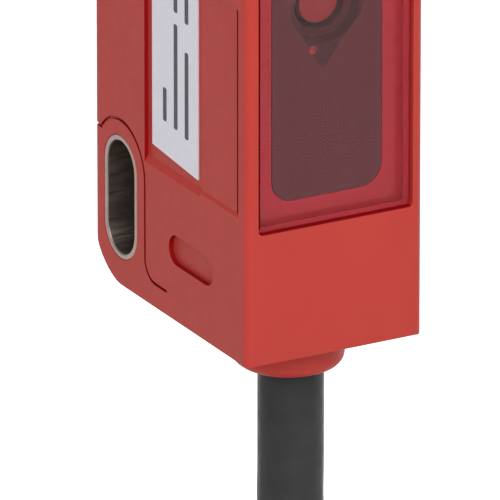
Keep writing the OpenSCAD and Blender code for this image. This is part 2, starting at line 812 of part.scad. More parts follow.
module output_transistors() color([0.13, 0.13, 0.14])
    for (s = [-1, 1]) on_board(s * 1.75, 5.4, 2.9, 1.3, 1.0);
module driver_ic() color([0.13, 0.13, 0.14]) on_board(0, 2.95, 3, 3, 0.8);
module oscillator() color([0.75, 0.75, 0.72]) on_board(0, 0.55, 2.0, 1.2, 0.7);
module sensor_asic() color([0.13, 0.13, 0.14]) on_board(0, -2.35, 4, 4, 0.9);
module tantalum_capacitor() color([0.85, 0.60, 0.15]) on_board(-1.5, -5.45, 3.2, 1.6, 1.6);
module protection_diode() color([0.13, 0.13, 0.14]) on_board(1.9, -5.45, 2.4, 1.4, 1.0);
module ceramic_capacitors() color([0.72, 0.60, 0.45])
    for (s = [-1, 1], i = [0 : 2]) on_board(s * 2.9, -3.65 + 1.3 * i, 0.5, 1.0, 0.5);
module chip_resistors() color([0.10, 0.10, 0.10])
    for (s = [-1, 1], i = [0 : 3]) on_board(s * 2.5, 0.15 + 1.25 * i, 0.5, 1.0, 0.35);

// ---------------------------------------------------------------- cable entry

module cable_grommet() color([0.20, 0.20, 0.21]) translate([0, cable_y, 0]) difference() {
    union() {
        rod_z(grommet_r, boss_z + grommet_sink, room_z0);
        rod_z(grommet_flange_r, room_z0, room_z0 + grommet_flange_t);
        rod_z(barrel_r, room_z0 + grommet_flange_t, room_z0 + grommet_flange_t + barrel_t);
    }
    rod_z(cable_d / 2, boss_z, inlet_z1);
}

module crimp_ring() color(METAL) translate([0, cable_y, room_z0 + grommet_flange_t]) difference() {
    rod_z(crimp_r, 0, crimp_t);
    rod_z(barrel_r, -far, crimp_t + far);
}

module cable_inlet() color([0.25, 0.25, 0.26])
    rod_z(cable_d / 2, boss_z, inlet_z1, 0, cable_y);

// One core from the end of the jacket to its pad on the main board
module core(i) {
    a = core_angles[i];
    x = core_ring_r * cos(a);
    y = cable_y + core_ring_r * sin(a);
    pad_y = main_y0 - core_d / 2;
    tube([
        [x, y, inlet_z1],
        [x, y, inlet_z1 + 0.6],
        [core_pads[i], y + 0.8, inlet_z1 + 2.4],
        [core_pads[i], pad_y, main_z0 - 0.6],
        [core_pads[i], pad_y, main_z0 + 0.7]
    ], core_d / 2);
}

module brown_core() color(BROWN) core(0);
module white_core() color(WHITE) core(1);
module blue_core() color(BLUE) core(2);
module black_core() color(BLACK) core(3);

module solder_joints() color([0.78, 0.78, 0.76])
    for (x = core_pads) translate([x, main_y0 - core_d / 2, main_z0 + 0.7])
        rod_z(core_d / 2, 0, 0.5);

// ---------------------------------------------------------------- free cable

module at_exit()
    translate([0, cable_y, boss_z]) children();

module at_coil()
    at_exit() translate([0, 0, -coil_drop]) children();

module cable_lead() color([0.25, 0.25, 0.26])
    at_exit() tube(lead_route, cable_d / 2);

// The outline across the turns of the coil, widened by the given amount
module coil_section(more) translate([coil_r, 0])
    round_rect(coil_outer_r - coil_inner_r + 2 * more, coil_w + 2 * more, coil_edge_r + more);

module cable_coil() color([0.25, 0.25, 0.26])
    at_coil() rotate([90, 0, 0]) rotate_extrude($fn = 96) coil_section(0);

module cable_ties() color(BLACK) at_coil() for (a = tie_angles) {
    span = tie_w / coil_r * 180 / PI;
    rotate([90, 0, 0]) rotate([0, 0, a - span / 2])
        rotate_extrude(angle = span) difference() {
            coil_section(tie_t);
            coil_section(0);
        }
    rotate([0, -a, 0])
        block([coil_outer_r + tie_t / 2, -3, -tie_w / 2 - 0.4],
            [coil_outer_r + tie_t + 2.4, 2.4, tie_w / 2 + 0.4]);
}

module cable_tail() color([0.25, 0.25, 0.26]) at_coil() tube(tail_route, cable_d / 2);

// A core's free end, without the stripped tip: straight out of the jacket, then apart
module core_end(i) at_coil() {
    last = len(tail_route) - 1;
    out = along(tail_route, last);
    start = ring(tail_route, last, core_ring_r, 8)[2 * i + 1];
    tube(concat([start, start + out], lay * core_ends[i]), core_d / 2);
}

module brown_end() color(BROWN) core_end(0);
module black_end() color(BLACK) core_end(1);
module white_end() color(WHITE) core_end(2);
module blue_end() color(BLUE) core_end(3);

module tinned_tips() color([0.80, 0.80, 0.78]) at_coil() for (way_out = core_ends) {
    route = lay * way_out;
    last = len(route) - 1;
    way = (route[last] - route[last - 1]) / norm(route[last] - route[last - 1]);
    tube([route[last], route[last] + tip_l * way], core_d / 4);
}

// ---------------------------------------------------------------- nodes

housing();
front_window();
label();
upper_mounting_sleeve();
lower_mounting_sleeve();
indicator_window();
green_light_guide();
yellow_light_guide();
sensitivity_spindle();
sensitivity_seal();
sensitivity_rotor();
sensitivity_wiper();
sensitivity_trimmer();
mode_spindle();
mode_seal();
mode_rotor();
mode_wiper();
mode_switch();
control_board();
green_led();
yellow_led();
board_link_header();
board_link_pins();
optics_carrier();
lens_ring();
collimator_lens();
emitter_window();
beam_splitter();
laser_can();
laser_pins();
receiver_board();
receiver_chip();
analyser_film();
main_board();
sensor_asic();
driver_ic();
output_transistors();
ceramic_capacitors();
chip_resistors();
tantalum_capacitor();
protection_diode();
oscillator();
cable_grommet();
crimp_ring();
cable_inlet();
brown_core();
white_core();
blue_core();
black_core();
solder_joints();
cable_lead();
cable_coil();
cable_ties();
cable_tail();
brown_end();
white_end();
blue_end();
black_end();
tinned_tips();
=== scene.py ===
"""Miniature photoelectric sensor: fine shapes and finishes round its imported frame."""

import json
import math

import bpy
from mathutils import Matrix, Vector


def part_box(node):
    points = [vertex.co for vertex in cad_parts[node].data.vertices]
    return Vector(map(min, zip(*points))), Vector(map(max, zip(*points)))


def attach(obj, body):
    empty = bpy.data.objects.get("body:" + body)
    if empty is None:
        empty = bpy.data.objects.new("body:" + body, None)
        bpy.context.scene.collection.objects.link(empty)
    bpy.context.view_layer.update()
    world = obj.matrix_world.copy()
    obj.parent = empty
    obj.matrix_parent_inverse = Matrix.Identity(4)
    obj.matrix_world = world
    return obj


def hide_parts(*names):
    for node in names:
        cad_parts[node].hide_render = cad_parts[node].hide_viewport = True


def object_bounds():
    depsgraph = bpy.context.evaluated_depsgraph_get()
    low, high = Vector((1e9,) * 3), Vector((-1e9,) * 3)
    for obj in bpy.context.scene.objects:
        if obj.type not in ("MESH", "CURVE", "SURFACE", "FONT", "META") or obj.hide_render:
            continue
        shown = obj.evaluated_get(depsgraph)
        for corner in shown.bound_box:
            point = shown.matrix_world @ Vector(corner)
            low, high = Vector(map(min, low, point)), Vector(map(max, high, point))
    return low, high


bl_info = {
    "name": "Photoelectric Sensor",
    "version": (1, 0, 0),
    "blender": (4, 5, 0),
    "location": "3D View > Sidebar > Sensor",
    "description": "Builds the fine shapes and finishes of a photoelectric sensor with its cable",
    "category": "Add Mesh",
}

MM = 0.001
ROOT = "root"
BODY_H = 34.2 * MM
# How near a corner or a face lies to the plane that it is looked for on
NEAR = 0.01 * MM
# How far a normal leans towards an axis to count as facing along it
FACING = 0.9

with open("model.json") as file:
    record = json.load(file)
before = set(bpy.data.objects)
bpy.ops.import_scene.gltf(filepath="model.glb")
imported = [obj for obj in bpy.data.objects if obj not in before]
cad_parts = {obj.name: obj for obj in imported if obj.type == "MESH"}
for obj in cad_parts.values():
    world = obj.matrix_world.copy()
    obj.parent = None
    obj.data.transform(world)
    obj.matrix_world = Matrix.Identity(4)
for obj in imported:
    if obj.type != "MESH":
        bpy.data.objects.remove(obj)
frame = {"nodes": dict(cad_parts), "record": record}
CAD_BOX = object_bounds()
NODES = frame["nodes"]
BODY_OF = {
    node: body
    for body, members in frame["record"]["behaviour"]["bodies"].items()
    for node in members
}

# Faces of the housing and its pieces, read from the frame
FRONT_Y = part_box("housing")[0].y
SIDE_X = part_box("housing")[0].x
TOP_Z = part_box("housing")[1].z
BOTTOM_Z = TOP_Z - BODY_H
CABLE_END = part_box("cable_inlet")[0].z
CABLE_Y = (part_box("cable_inlet")[0].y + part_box("cable_inlet")[1].y) / 2
CABLE_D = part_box("cable_inlet")[1].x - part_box("cable_inlet")[0].x
EXIT = Vector((0, CABLE_Y, CABLE_END))


def srgb(red, green, blue):
    """The linear colour of a colour given as three numbers from 0 to 255."""

    def one(value):
        value = value / 255
        return value / 12.92 if value <= 0.04045 else ((value + 0.055) / 1.055) ** 2.4

    return (one(red), one(green), one(blue))


# ---- settings ----


def colour(name, description, default):
    """A colour that the panel shows."""
    return bpy.props.FloatVectorProperty(
        name=name, description=description, default=default, subtype="COLOR", size=3, min=0, max=1
    )


def length(name, description, default):
    """A length that the panel shows."""
    return bpy.props.FloatProperty(
        name=name, description=description, default=default, unit="LENGTH", subtype="DISTANCE", min=0
    )


def angle(name, description, default):
    """An angle that the panel shows, given in degrees."""
    return bpy.props.FloatProperty(
        name=name, description=description, default=math.radians(default),
        unit="ROTATION", subtype="ANGLE",
    )


def power(name, description, default):
    """The power of a lamp that the panel shows."""
    return bpy.props.FloatProperty(name=name, description=description, default=default, unit="POWER")


class SensorSizes(bpy.types.PropertyGroup):
    """Sizes of the fine shapes."""

    housing_edge: length("Housing edges", "Rounding of the housing's fine edges", 0.06 * MM)
    window_edge: length("Window edges", "Rounding of the front window's edges", 0.05 * MM)
    sleeve_edge: length("Sleeve edges", "Rounding of the rims of the mounting sleeves", 0.1 * MM)
    small_edge: length("Small edges", "Rounding of the edges of small parts", 0.05 * MM)
    print_t: length("Print thickness", "How far printed marks stand off their surface", 0.01 * MM)
    cable_length: length("Cable length", "Length of the cable from the boss to its end", 2.0)
    coil_radius: length("Coil radius", "Radius of the middle layer of the coil", 23.2 * MM)
    coil_pitch: length("Coil pitch", "Distance between the turns of the coil", CABLE_D + 0.1 * MM)
    core_d: length("Core diameter", "Diameter of one insulated core", 1.0 * MM)
    strand_d: length("Strand diameter", "Diameter of one strand of a tinned core", 0.17 * MM)


class SensorColours(bpy.types.PropertyGroup):
    """Colours of the finishes."""

    housing: colour("Housing", "Moulded plastic of the housing", srgb(189, 61, 53))
    # Painted shade: a darker, purplish copy of the housing's red for the seat behind the window
    ledge: colour("Window ledge", "Glossy seat behind the front window", srgb(174, 48, 68))
    # Painted shade: a deep red on the walls of the side grooves, the walls above and below the window
    # and the window's left edge, where shade falls
    bond: colour("Window bond", "Deep red of the gaps and the groove walls", srgb(150, 16, 20))
    window: colour("Front window", "Tint of the front window", srgb(254, 192, 198))
    label: colour("Label", "Film of the label", srgb(233, 230, 240))
    ink: colour("Print", "Ink of the bars on the label", srgb(70, 72, 82))
    steel: colour("Sleeves", "Rims of the mounting sleeves", srgb(170, 148, 139))
    # A rougher finish for the bores, with a darker colour that is painted shade inside them
    bore: colour("Sleeve bores", "Inner walls of the mounting sleeves", srgb(150, 138, 130))
    carrier: colour("Optics carrier", "Dark plastic of the carrier", srgb(88, 70, 71))
    emitter: colour("Emitter window", "Tint of the emitter's window", srgb(140, 60, 58))
    cable: colour("Cable", "Jacket of the cable", srgb(55, 55, 56))
    board: colour("Boards", "Lacquer of the circuit boards", srgb(28, 98, 58))
    adjuster: colour("Adjusters", "Plastic of the adjusters", srgb(226, 224, 214))
    tie: colour("Cable ties", "Nylon of the cable ties", srgb(34, 34, 36))


class SensorView(bpy.types.PropertyGroup):
    """Where the camera stands and how strong the light is."""

    azimuth: angle("Azimuth", "How far the camera stands to the left of the front", 28.84)
    elevation: angle("Elevation", "How far the camera stands above the part", 21.03)
    distance: length("Distance", "Distance from the camera to the front's lower edge", 0.723)
    key_light: power("Key light", "Power of the lamp at the front", 5.35)
    side_light: power("Side light", "Power of the lamp at the left", 1.15)
    back_light: power("Back light", "Power of the lamp behind, at the right", 3.6)
    ambient: bpy.props.FloatProperty(
        name="Ambient", description="Strength of the light from all round", default=0.25, min=0, max=1
    )


# ---- finishes ----


class Finish:
    """A node material that is built up on the piece's own Object coordinates."""

    wave_period = 0.314  # length of one wave at scale one

    def __init__(self, name, base, roughness, sockets=None):
        self.material = bpy.data.materials.new(name)
        self.material.use_nodes = True
        self.material.diffuse_color = (*base, 1)
        self.nodes = self.material.node_tree.nodes
        self.links = self.material.node_tree.links
        self.shader = self.nodes["Principled BSDF"]
        self.place = self.nodes.new("ShaderNodeTexCoord").outputs["Object"]
        self.base = base
        self.shader.inputs["Base Color"].default_value = (*base, 1)
        self.shader.inputs["Roughness"].default_value = roughness
        for socket, value in (sockets or {}).items():
            self.shader.inputs[socket].default_value = value

    def texture(self, kind, size, stretch=None):
        """A texture with features of about the given size in metres, drawn out if need be."""
        texture = self.nodes.new(kind)
        texture.inputs["Scale"].default_value = 1 / size
        place = self.place
        if stretch:
            mapping = self.nodes.new("ShaderNodeMapping")
            mapping.inputs["Scale"].default_value = stretch
            self.links.new(place, mapping.inputs["Vector"])
            place = mapping.outputs["Vector"]
        self.links.new(place, texture.inputs["Vector"])
        return texture

    def noise(self, size, detail=2.0, stretch=None):
        """Soft random patches."""
        texture = self.texture("ShaderNodeTexNoise", size, stretch)
        texture.inputs["Detail"].default_value = detail
        return texture.outputs["Fac"]

    def cells(self, size):
        """The distance from the middles of random cells."""
        return self.texture("ShaderNodeTexVoronoi", size).outputs["Distance"]

    def bands(self, size, distortion):
        """Wavy bands across X."""
        texture = self.texture("ShaderNodeTexWave", size / self.wave_period)
        texture.inputs["Distortion"].default_value = distortion
        return texture.outputs["Fac"]

    def between(self, value, low, high, low_at=0.35, high_at=0.65):
        """A value brought into the range from low to high."""
        ranged = self.nodes.new("ShaderNodeMapRange")
        ranged.inputs["From Min"].default_value = low_at
        ranged.inputs["From Max"].default_value = high_at
        ranged.inputs["To Min"].default_value = low
        ranged.inputs["To Max"].default_value = high
        self.links.new(value, ranged.inputs["Value"])
        return ranged.outputs["Result"]

    def shade(self, value, amount=0.06, other=None, low_at=0.35, high_at=0.65):
        """Lets the colour vary with a value: by a share of itself, or to another colour."""
        mix = self.nodes.new("ShaderNodeMix")
        mix.data_type = "RGBA"
        dark = other or tuple(c * (1 - amount) for c in self.base)
        light = self.base if other else tuple(min(1, c * (1 + amount)) for c in self.base)
        socket = self.shader.inputs["Base Color"]
        if socket.is_linked:
            self.links.new(socket.links[0].from_socket, mix.inputs["B"])
        else:
            mix.inputs["B"].default_value = (*light, 1)
        mix.inputs["A"].default_value = (*dark, 1)
        self.links.new(self.between(value, 0, 1, low_at, high_at), mix.inputs["Factor"])
        self.links.new(mix.outputs["Result"], socket)

    def gloss(self, value, low, high):
        """Lets the roughness vary with a value."""
        self.links.new(self.between(value, low, high), self.shader.inputs["Roughness"])

    def relief(self, value, depth, strength=1.0):
        """Lets the surface rise with a value, by a depth in metres."""
        bump = self.nodes.new("ShaderNodeBump")
        bump.inputs["Distance"].default_value = depth
        bump.inputs["Strength"].default_value = strength
        self.links.new(value, bump.inputs["Height"])
        self.links.new(bump.outputs["Normal"], self.shader.inputs["Normal"])


def moulded(name, base, roughness, depth=0.004 * MM, shine=0.5):
    """Injection-moulded plastic: fine spark-eroded grain, faint flow shades."""
    made = Finish(name, base, roughness, {"IOR": 1.46, "Specular IOR Level": shine})
    made.shade(made.noise(2.4 * MM, 3, (1, 1, 0.35)), 0.02)
    made.gloss(made.noise(0.7 * MM, 3), roughness - 0.03, roughness + 0.03)
    made.relief(made.noise(0.14 * MM, 3), depth)
    return made


def turned_metal(name, base, roughness, stretch=(0.06, 1, 1)):
    """Bright metal with fine tool lines along one way."""
    made = Finish(name, base, roughness, {"Metallic": 1.0})
    lines = made.noise(0.09 * MM, 3, stretch)
    made.shade(made.noise(0.8 * MM, 2), 0.05)
    made.gloss(lines, roughness - 0.06, roughness + 0.08)
    made.relief(lines, 0.0025 * MM)
    return made


def soft_rubber(name, base):
    """Dull rubber with a dusty bloom."""
    made = Finish(name, base, 0.62, {"IOR": 1.42})
    made.shade(made.noise(0.7 * MM, 4), 0.14)
    made.gloss(made.noise(0.5 * MM, 3), 0.55, 0.72)
    made.relief(made.noise(0.08 * MM, 2), 0.004 * MM)
    return made


def clear_part(name, base, roughness, ior, weight=1.0):
    """Clear or tinted see-through plastic or glass with faint handling marks."""
    made = Finish(name, base, roughness, {"IOR": ior, "Transmission Weight": weight})
    made.gloss(made.noise(1.1 * MM, 3), roughness, roughness + 0.02)
    made.relief(made.noise(5 * MM, 1), 0.001 * MM)
    return made


def circuit_board(name, base):
    """Green lacquer over copper tracks on glass cloth."""
    made = Finish(name, base, 0.3, {"IOR": 1.5, "Coat Weight": 0.3, "Coat Roughness": 0.15})
    tracks = made.bands(0.55 * MM, 3.0)
    made.shade(tracks, 0.22, low_at=0.55, high_at=0.62)
    made.shade(made.cells(1.3 * MM), other=srgb(186, 158, 84), low_at=0.1, high_at=0.14)
    made.gloss(made.noise(0.3 * MM, 3), 0.24, 0.38)
    made.relief(tracks, 0.012 * MM, 0.6)
    return made


def chip_resin(name, base):
    """Black moulding resin of electronic parts, with a sandy matt grain."""
    made = Finish(name, base, 0.55, {"IOR": 1.5})
    made.shade(made.noise(0.12 * MM, 4), 0.2)
    made.gloss(made.noise(0.25 * MM, 2), 0.48, 0.66)
    made.relief(made.noise(0.05 * MM, 2), 0.004 * MM)
    return made


def drawn_jacket(name, base):
    """Extruded cable jacket: faint draw lines, a dusty satin skin."""
    made = Finish(name, base, 0.4, {"IOR": 1.48, "Specular IOR Level": 0.12})
    made.shade(made.noise(1.6 * MM, 3), 0.1)
    made.gloss(made.noise(0.6 * MM, 3), 0.34, 0.46)
    made.relief(made.noise(0.22 * MM, 3), 0.006 * MM)
    return made


def printed(name, base):
    """Printing ink with slightly broken edges and cover."""
    made = Finish(name, base, 0.5, {"IOR": 1.45})
    made.shade(made.noise(0.12 * MM, 3), 0.18)
    made.relief(made.noise(0.06 * MM, 2), 0.001 * MM)
    return made


def label_film(name, base):
    """Satin polyester film with a faint fleck."""
    made = Finish(name, base, 0.38, {"IOR": 1.48})
    made.shade(made.noise(0.35 * MM, 4), 0.02)
    made.gloss(made.noise(1.4 * MM, 2), 0.33, 0.44)
    made.relief(made.noise(2.5 * MM, 2), 0.004 * MM)
    return made


def make_finishes(colours):
    """All the finishes by their name."""
    made = {
        "housing": moulded("housing_plastic", colours.housing, 0.44, shine=0.22),
        # Painted shade on the seat behind the window
        "ledge": moulded("ledge_painted_shade", colours.ledge, 0.3, 0.0005 * MM, 0.28),
        # Painted light: an opaque red brighter than the ledge for the window's edge faces, so they look
        # as lit as the ledge through the window
        "pane_edge_painted_light": moulded("pane_edge_painted_light", srgb(234, 73, 92), 0.5, 0.0005 * MM),
        # Painted shade for the walls of the gaps and grooves
        "bond": moulded("painted_gap_shade", colours.bond, 0.5, shine=0.1),
        "window": clear_part("window_plastic", colours.window, 0.02, 1.3),
        "label": label_film("label_film", colours.label),
        "ink": printed("label_ink", colours.ink),
        "mark": printed("white_marks", srgb(226, 224, 220)),
        "steel": turned_metal("sleeve_steel", colours.steel, 0.2),
        # Rougher bore finish; its darker colour is painted shade
        "bore": turned_metal("sleeve_bore", colours.bore, 0.42),
        "cover": clear_part("indicator_plastic", srgb(226, 224, 216), 0.12, 1.46, 0.55),
        "guide": clear_part("guide_plastic", srgb(240, 246, 246), 0.03, 1.49),
        "adjuster": moulded("adjuster_plastic", colours.adjuster, 0.36),
        "rubber": soft_rubber("seal_rubber", srgb(34, 34, 36)),
        "contact": turned_metal("contact_bronze", srgb(206, 162, 92), 0.26, (1, 0.1, 1)),
        "gold": turned_metal("gold_plate", srgb(222, 186, 104), 0.2, (1, 0.1, 1)),
        "trimmer": moulded("trimmer_plastic", srgb(44, 74, 150), 0.4),
        "carrier": moulded("carrier_plastic", colours.carrier, 0.55, 0.0002 * MM, 0.2),
        "black": moulded("black_plastic", srgb(36, 36, 38), 0.45),
        "board": circuit_board("board_lacquer", colours.board),
        "green": clear_part("green_lens", srgb(150, 226, 150), 0.2, 1.5, 0.6),
        "yellow": clear_part("yellow_lens", srgb(248, 214, 92), 0.2, 1.5, 0.6),
        "glass": clear_part("optic_glass", srgb(238, 246, 246), 0.0, 1.52),
        "emitter": moulded("emitter_plastic", colours.emitter, 0.3, 0.002 * MM),
        "chip": chip_resin("chip_resin", srgb(32, 32, 34)),
        "film": moulded("filter_film", srgb(84, 80, 96), 0.2, 0.001 * MM),
        "ceramic": moulded("ceramic_body", srgb(178, 148, 112), 0.4),
        "tantalum": moulded("tantalum_body", srgb(214, 152, 44), 0.42),
        "tin": turned_metal("tinned_metal", srgb(196, 196, 192), 0.3, (1, 0.3, 1)),
        "grommet": soft_rubber("grommet_rubber", srgb(42, 42, 43)),
        "cable": drawn_jacket("cable_jacket", colours.cable),
        "brown": drawn_jacket("brown_insulation", srgb(104, 58, 34)),
        "white": drawn_jacket("white_insulation", srgb(226, 225, 220)),
        "blue": drawn_jacket("blue_insulation", srgb(36, 78, 168)),
        "black_core": drawn_jacket("black_insulation", srgb(30, 30, 31)),
        "tie": moulded("tie_nylon", colours.tie, 0.35),
    }
    return {name: finish.material for name, finish in made.items()}


# The materials by their name, made in main
FINISHES = {}

# The finish of each node that is shown as it comes from the frame
NODE_FINISH = {
    "label": "label",
    "green_light_guide": "guide",
    "yellow_light_guide": "guide",
    "sensitivity_seal": "rubber",
    "mode_seal": "rubber",
    "sensitivity_wiper": "contact",
    "mode_wiper": "contact",
    "board_link_pins": "gold",
    "laser_pins": "gold",
    "collimator_lens": "glass",
    "beam_splitter": "glass",
    "laser_can": "gold",
    "analyser_film": "film",
    "solder_joints": "tin",
    "crimp_ring": "tin",
    "cable_inlet": "cable",
    "cable_grommet": "grommet",
    "brown_core": "brown",
    "white_core": "white",
    "blue_core": "blue",
    "black_core": "black_core",
}

# Nodes whose fine edges are rounded on a copy: finish and slot
EDGED_NODES = {
    "indicator_window": ("cover", "clear_cover"),
    "sensitivity_spindle": ("adjuster", "adjuster_white"),
    "mode_spindle": ("adjuster", "adjuster_white"),
    "sensitivity_rotor": ("adjuster", "rotor_white"),
    "mode_rotor": ("adjuster", "rotor_white"),
    "sensitivity_trimmer": ("trimmer", "trimmer_blue"),
    "mode_switch": ("black", "black_plastic"),
    "board_link_header": ("black", "black_plastic"),
    "optics_carrier": ("carrier", "black_plastic"),
    "lens_ring": ("carrier", "black_plastic"),
    "emitter_window": ("emitter", "emitter_red"),
    "control_board": ("board", "board_green"),
    "receiver_board": ("board", "board_green"),
    "main_board": ("board", "board_green"),
    "green_led": ("green", "green_lens"),
    "yellow_led": ("yellow", "yellow_lens"),
    "receiver_chip": ("chip", "chip_black"),
    "sensor_asic": ("chip", "chip_black"),
    "driver_ic": ("chip", "chip_black"),
    "output_transistors": ("chip", "chip_black"),
    "protection_diode": ("chip", "chip_black"),
    "chip_resistors": ("chip", "chip_black"),
    "ceramic_capacitors": ("ceramic", "ceramic_tan"),
    "tantalum_capacitor": ("tantalum", "tantalum_yellow"),
    "oscillator": ("tin", "crystal_metal"),
}


# ---- modelling ----

# Nearer corners are merged, flatter edges dissolved, sharper ones bevelled or left unsmoothed
MERGE_WITHIN = 0.0005 * MM
FLAT_ANGLE = math.radians(0.4)
SHARP_ANGLE = math.radians(32)
SMOOTH_ANGLE = math.radians(35)
# Turns a flat disc or ring to face along Y
UPRIGHT = (math.pi / 2, 0, 0)


def object_mode():
    """Goes back to object mode."""
    bpy.ops.object.mode_set(mode="OBJECT")


def select_only(*pieces):
    """Selects these pieces and nothing else; the last one is active."""
    bpy.ops.object.select_all(action="DESELECT")
    for piece in pieces:
        piece.select_set(True)
    bpy.context.view_layer.objects.active = pieces[-1]


def pick(piece, kind, test):
    """Goes into edit mode with the corners, edges or faces selected that pass a test."""
    select_only(piece)
    bpy.ops.object.mode_set(mode="EDIT")
    bpy.ops.mesh.select_mode(type=kind)
    bpy.ops.mesh.select_all(action="DESELECT")
    object_mode()
    mesh = piece.data
    items = {"VERT": mesh.vertices, "EDGE": mesh.edges, "FACE": mesh.polygons}[kind]
    for item in items:
        item.select = test(item)
    bpy.ops.object.mode_set(mode="EDIT")


def copy_of(node, name):
    """A copy of a frame node with its corners merged and its flat faces made whole."""
    piece = NODES[node].copy()
    piece.data = NODES[node].data.copy()
    piece.name = name
    piece.parent = None
    for key in list(piece.keys()):
        del piece[key]
    bpy.context.scene.collection.objects.link(piece)
    select_only(piece)
    bpy.ops.mesh.customdata_custom_splitnormals_clear()
    bpy.ops.object.mode_set(mode="EDIT")
    bpy.ops.mesh.select_all(action="SELECT")
    bpy.ops.mesh.remove_doubles(threshold=MERGE_WITHIN)
    bpy.ops.mesh.dissolve_limited(angle_limit=FLAT_ANGLE)
    object_mode()
    return piece


def round_edges(piece, width, segments=2):
    """Rounds the sharp edges with a bevel that stays live."""
    bevel = piece.modifiers.new("rounding", "BEVEL")
    bevel.width = width
    bevel.segments = segments
    bevel.limit_method = "ANGLE"
    bevel.angle_limit = SHARP_ANGLE
    bevel.harden_normals = True


def thicken(piece, thickness, offset):
    """Gives a sheet its thickness, with its normals out."""
    sheet = piece.modifiers.new("sheet", "SOLIDIFY")
    sheet.thickness = thickness
    sheet.offset = offset
    select_only(piece)
    bpy.ops.object.modifier_apply(modifier=sheet.name)


def face_outwards(piece):
    """Turns every normal out."""
    pick(piece, "FACE", lambda face: True)
    bpy.ops.mesh.normals_make_consistent()
    object_mode()


def add_block(low, high):
    """A block from one corner to the other."""
    low, high = Vector(low), Vector(high)
    bpy.ops.mesh.primitive_cube_add(size=1, location=(low + high) / 2)
    piece = bpy.context.object
    piece.scale = high - low
    bpy.ops.object.transform_apply()
    return piece


def add_disc(place, radius, depth, sides):
    """A round disc whose faces look along Y."""
    bpy.ops.mesh.primitive_cylinder_add(
        vertices=sides, radius=radius, depth=depth, rotation=UPRIGHT, location=place
    )
    bpy.ops.object.transform_apply()
    return bpy.context.object


def soften(piece, width):
    """Bevels every edge of a block."""
    pick(piece, "EDGE", lambda edge: True)
    bpy.ops.mesh.bevel(offset=width)
    object_mode()
    return piece


def join(pieces, name):
    """Makes one piece of several."""
    select_only(*pieces)
    if len(pieces) > 1:
        bpy.ops.object.join()
    piece = bpy.context.object
    piece.name = name
    piece.data.name = name
    return piece


def finish_piece(piece, material, nodes=(), body=ROOT):
    """Settles a piece's place, shading, material and body, and the nodes that it stands for."""
    select_only(piece)
    bpy.ops.object.transform_apply()
    if piece.type == "MESH":
        bpy.ops.object.shade_smooth_by_angle(angle=SMOOTH_ANGLE)
    piece.data.materials.clear()
    piece.data.materials.append(FINISHES[material])
    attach(piece, body)
    if nodes:
        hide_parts(*nodes)


def smooth_line(name, points, radius, sides=3, steps=4):
    """A round line through points, as one open spline."""
    data = bpy.data.curves.new(name, "CURVE")
    data.dimensions = "3D"
    data.resolution_u = steps
    data.bevel_depth = radius
    data.bevel_resolution = sides
    data.use_fill_caps = True
    spline = data.splines.new("BEZIER")
    spline.bezier_points.add(len(points) - 1)
    for knot, point in zip(spline.bezier_points, points):
        knot.co = point
        knot.handle_left_type = "AUTO"
        knot.handle_right_type = "AUTO"
    piece = bpy.data.objects.new(name, data)
    bpy.context.scene.collection.objects.link(piece)
    return piece


def as_mesh(piece):
    """The same piece as a mesh."""
    select_only(piece)
    bpy.ops.object.convert(target="MESH")
    return bpy.context.object


# ---- cable ----

# Offsets from the exit in millimetres, as in the part's source
LEAD_ROUTE = [
    (0, 0, 0), (0, 0, -3), (0, 0, -6), (0, 0, -9), (0.6, 0.3, -13.6), (2.4, 1.1, -18),
    (5.3, 2.5, -21.7), (9, 4.2, -24.6), (11.8, 5.4, -25.9), (16, 7.2, -28.1), (19.5, 8.3, -31.2),
    (21.3, 8.7, -33.8), (22.6, 8.8, -36.7), (24.1, 8.8, -40.9), (25.5, 8.8, -45.1),
]
# How far the coil's middle hangs below the exit, in millimetres
COIL_DROP = 54.4
# Offsets from the coil's middle in millimetres
TAIL_ROUTE = [
    (19.3, -5.1, 0.7), (18.1, -4.6, -3.7), (15.5, -3.8, -7.5), (12.1, -3, -10.7), (8.5, -2.4, -13),
]
CORE_ENDS = {
    "brown": [(5, -3.6, -15.2), (1.4, -4.4, -15.8), (-2.2, -5.2, -15.6), (-5.8, -5.6, -14.6)],
    "black": [(4.4, -3.4, -13.2), (1, -3, -13.6), (-2.6, -2.6, -13), (-6, -2.4, -11.8)],
    "white": [(4.4, -1, -13.4), (0.8, 0, -13.6), (-2.8, 0.8, -13), (-6.2, 1.2, -11.8)],
    "blue": [(5, -1, -15.4), (1.4, -0.4, -16), (-2.4, 0, -15.8), (-6, 0.2, -14.8)],
}
STEPS_A_TURN = 16


def from_exit(point):
    """The place of a point that is given from the exit, in millimetres."""
    return EXIT + Vector(point) * MM


def from_coil(point):
    """The place of a point that is given from the coil's middle, in millimetres."""
    return EXIT + Vector((0, 0, -COIL_DROP * MM)) + Vector(point) * MM


def coil_points(sizes):
    """The turns from the outer layer to the inner one, as points in order."""
    mid = sizes.coil_radius / MM
    pitch = sizes.coil_pitch / MM
    outer, inner = mid + pitch, mid - pitch
    edge = 2.25 * pitch  # half of the 4.5 steps across a full layer
    start = math.atan2(LEAD_ROUTE[-1][2] + COIL_DROP, LEAD_ROUTE[-1][0])
    # Turns, first and last radius, first and last place across the coil
    legs = [
        (4.5, outer, outer, edge, -edge),
        (0.25, outer, mid, -edge, -edge),
        (4.5, mid, mid, -edge, edge),
        (0.25, mid, inner, edge, edge),
        (3.55, inner, inner, edge, TAIL_ROUTE[0][1]),
    ]
    turns = sum(leg[0] for leg in legs)
    count = round(turns * STEPS_A_TURN)
    points = []
    for i in range(1, count):
        turned = turns * i / count
        done = turned
        for span, r0, r1, y0, y1 in legs:
            if done <= span:
                break
            done -= span
        share = done / span
        eased = share * share * (3 - 2 * share)
        r = r0 + (r1 - r0) * eased
        y = y0 + (y1 - y0) * share
        a = start - math.tau * turned
        points.append(from_coil((r * math.cos(a), y, r * math.sin(a))))
    return points


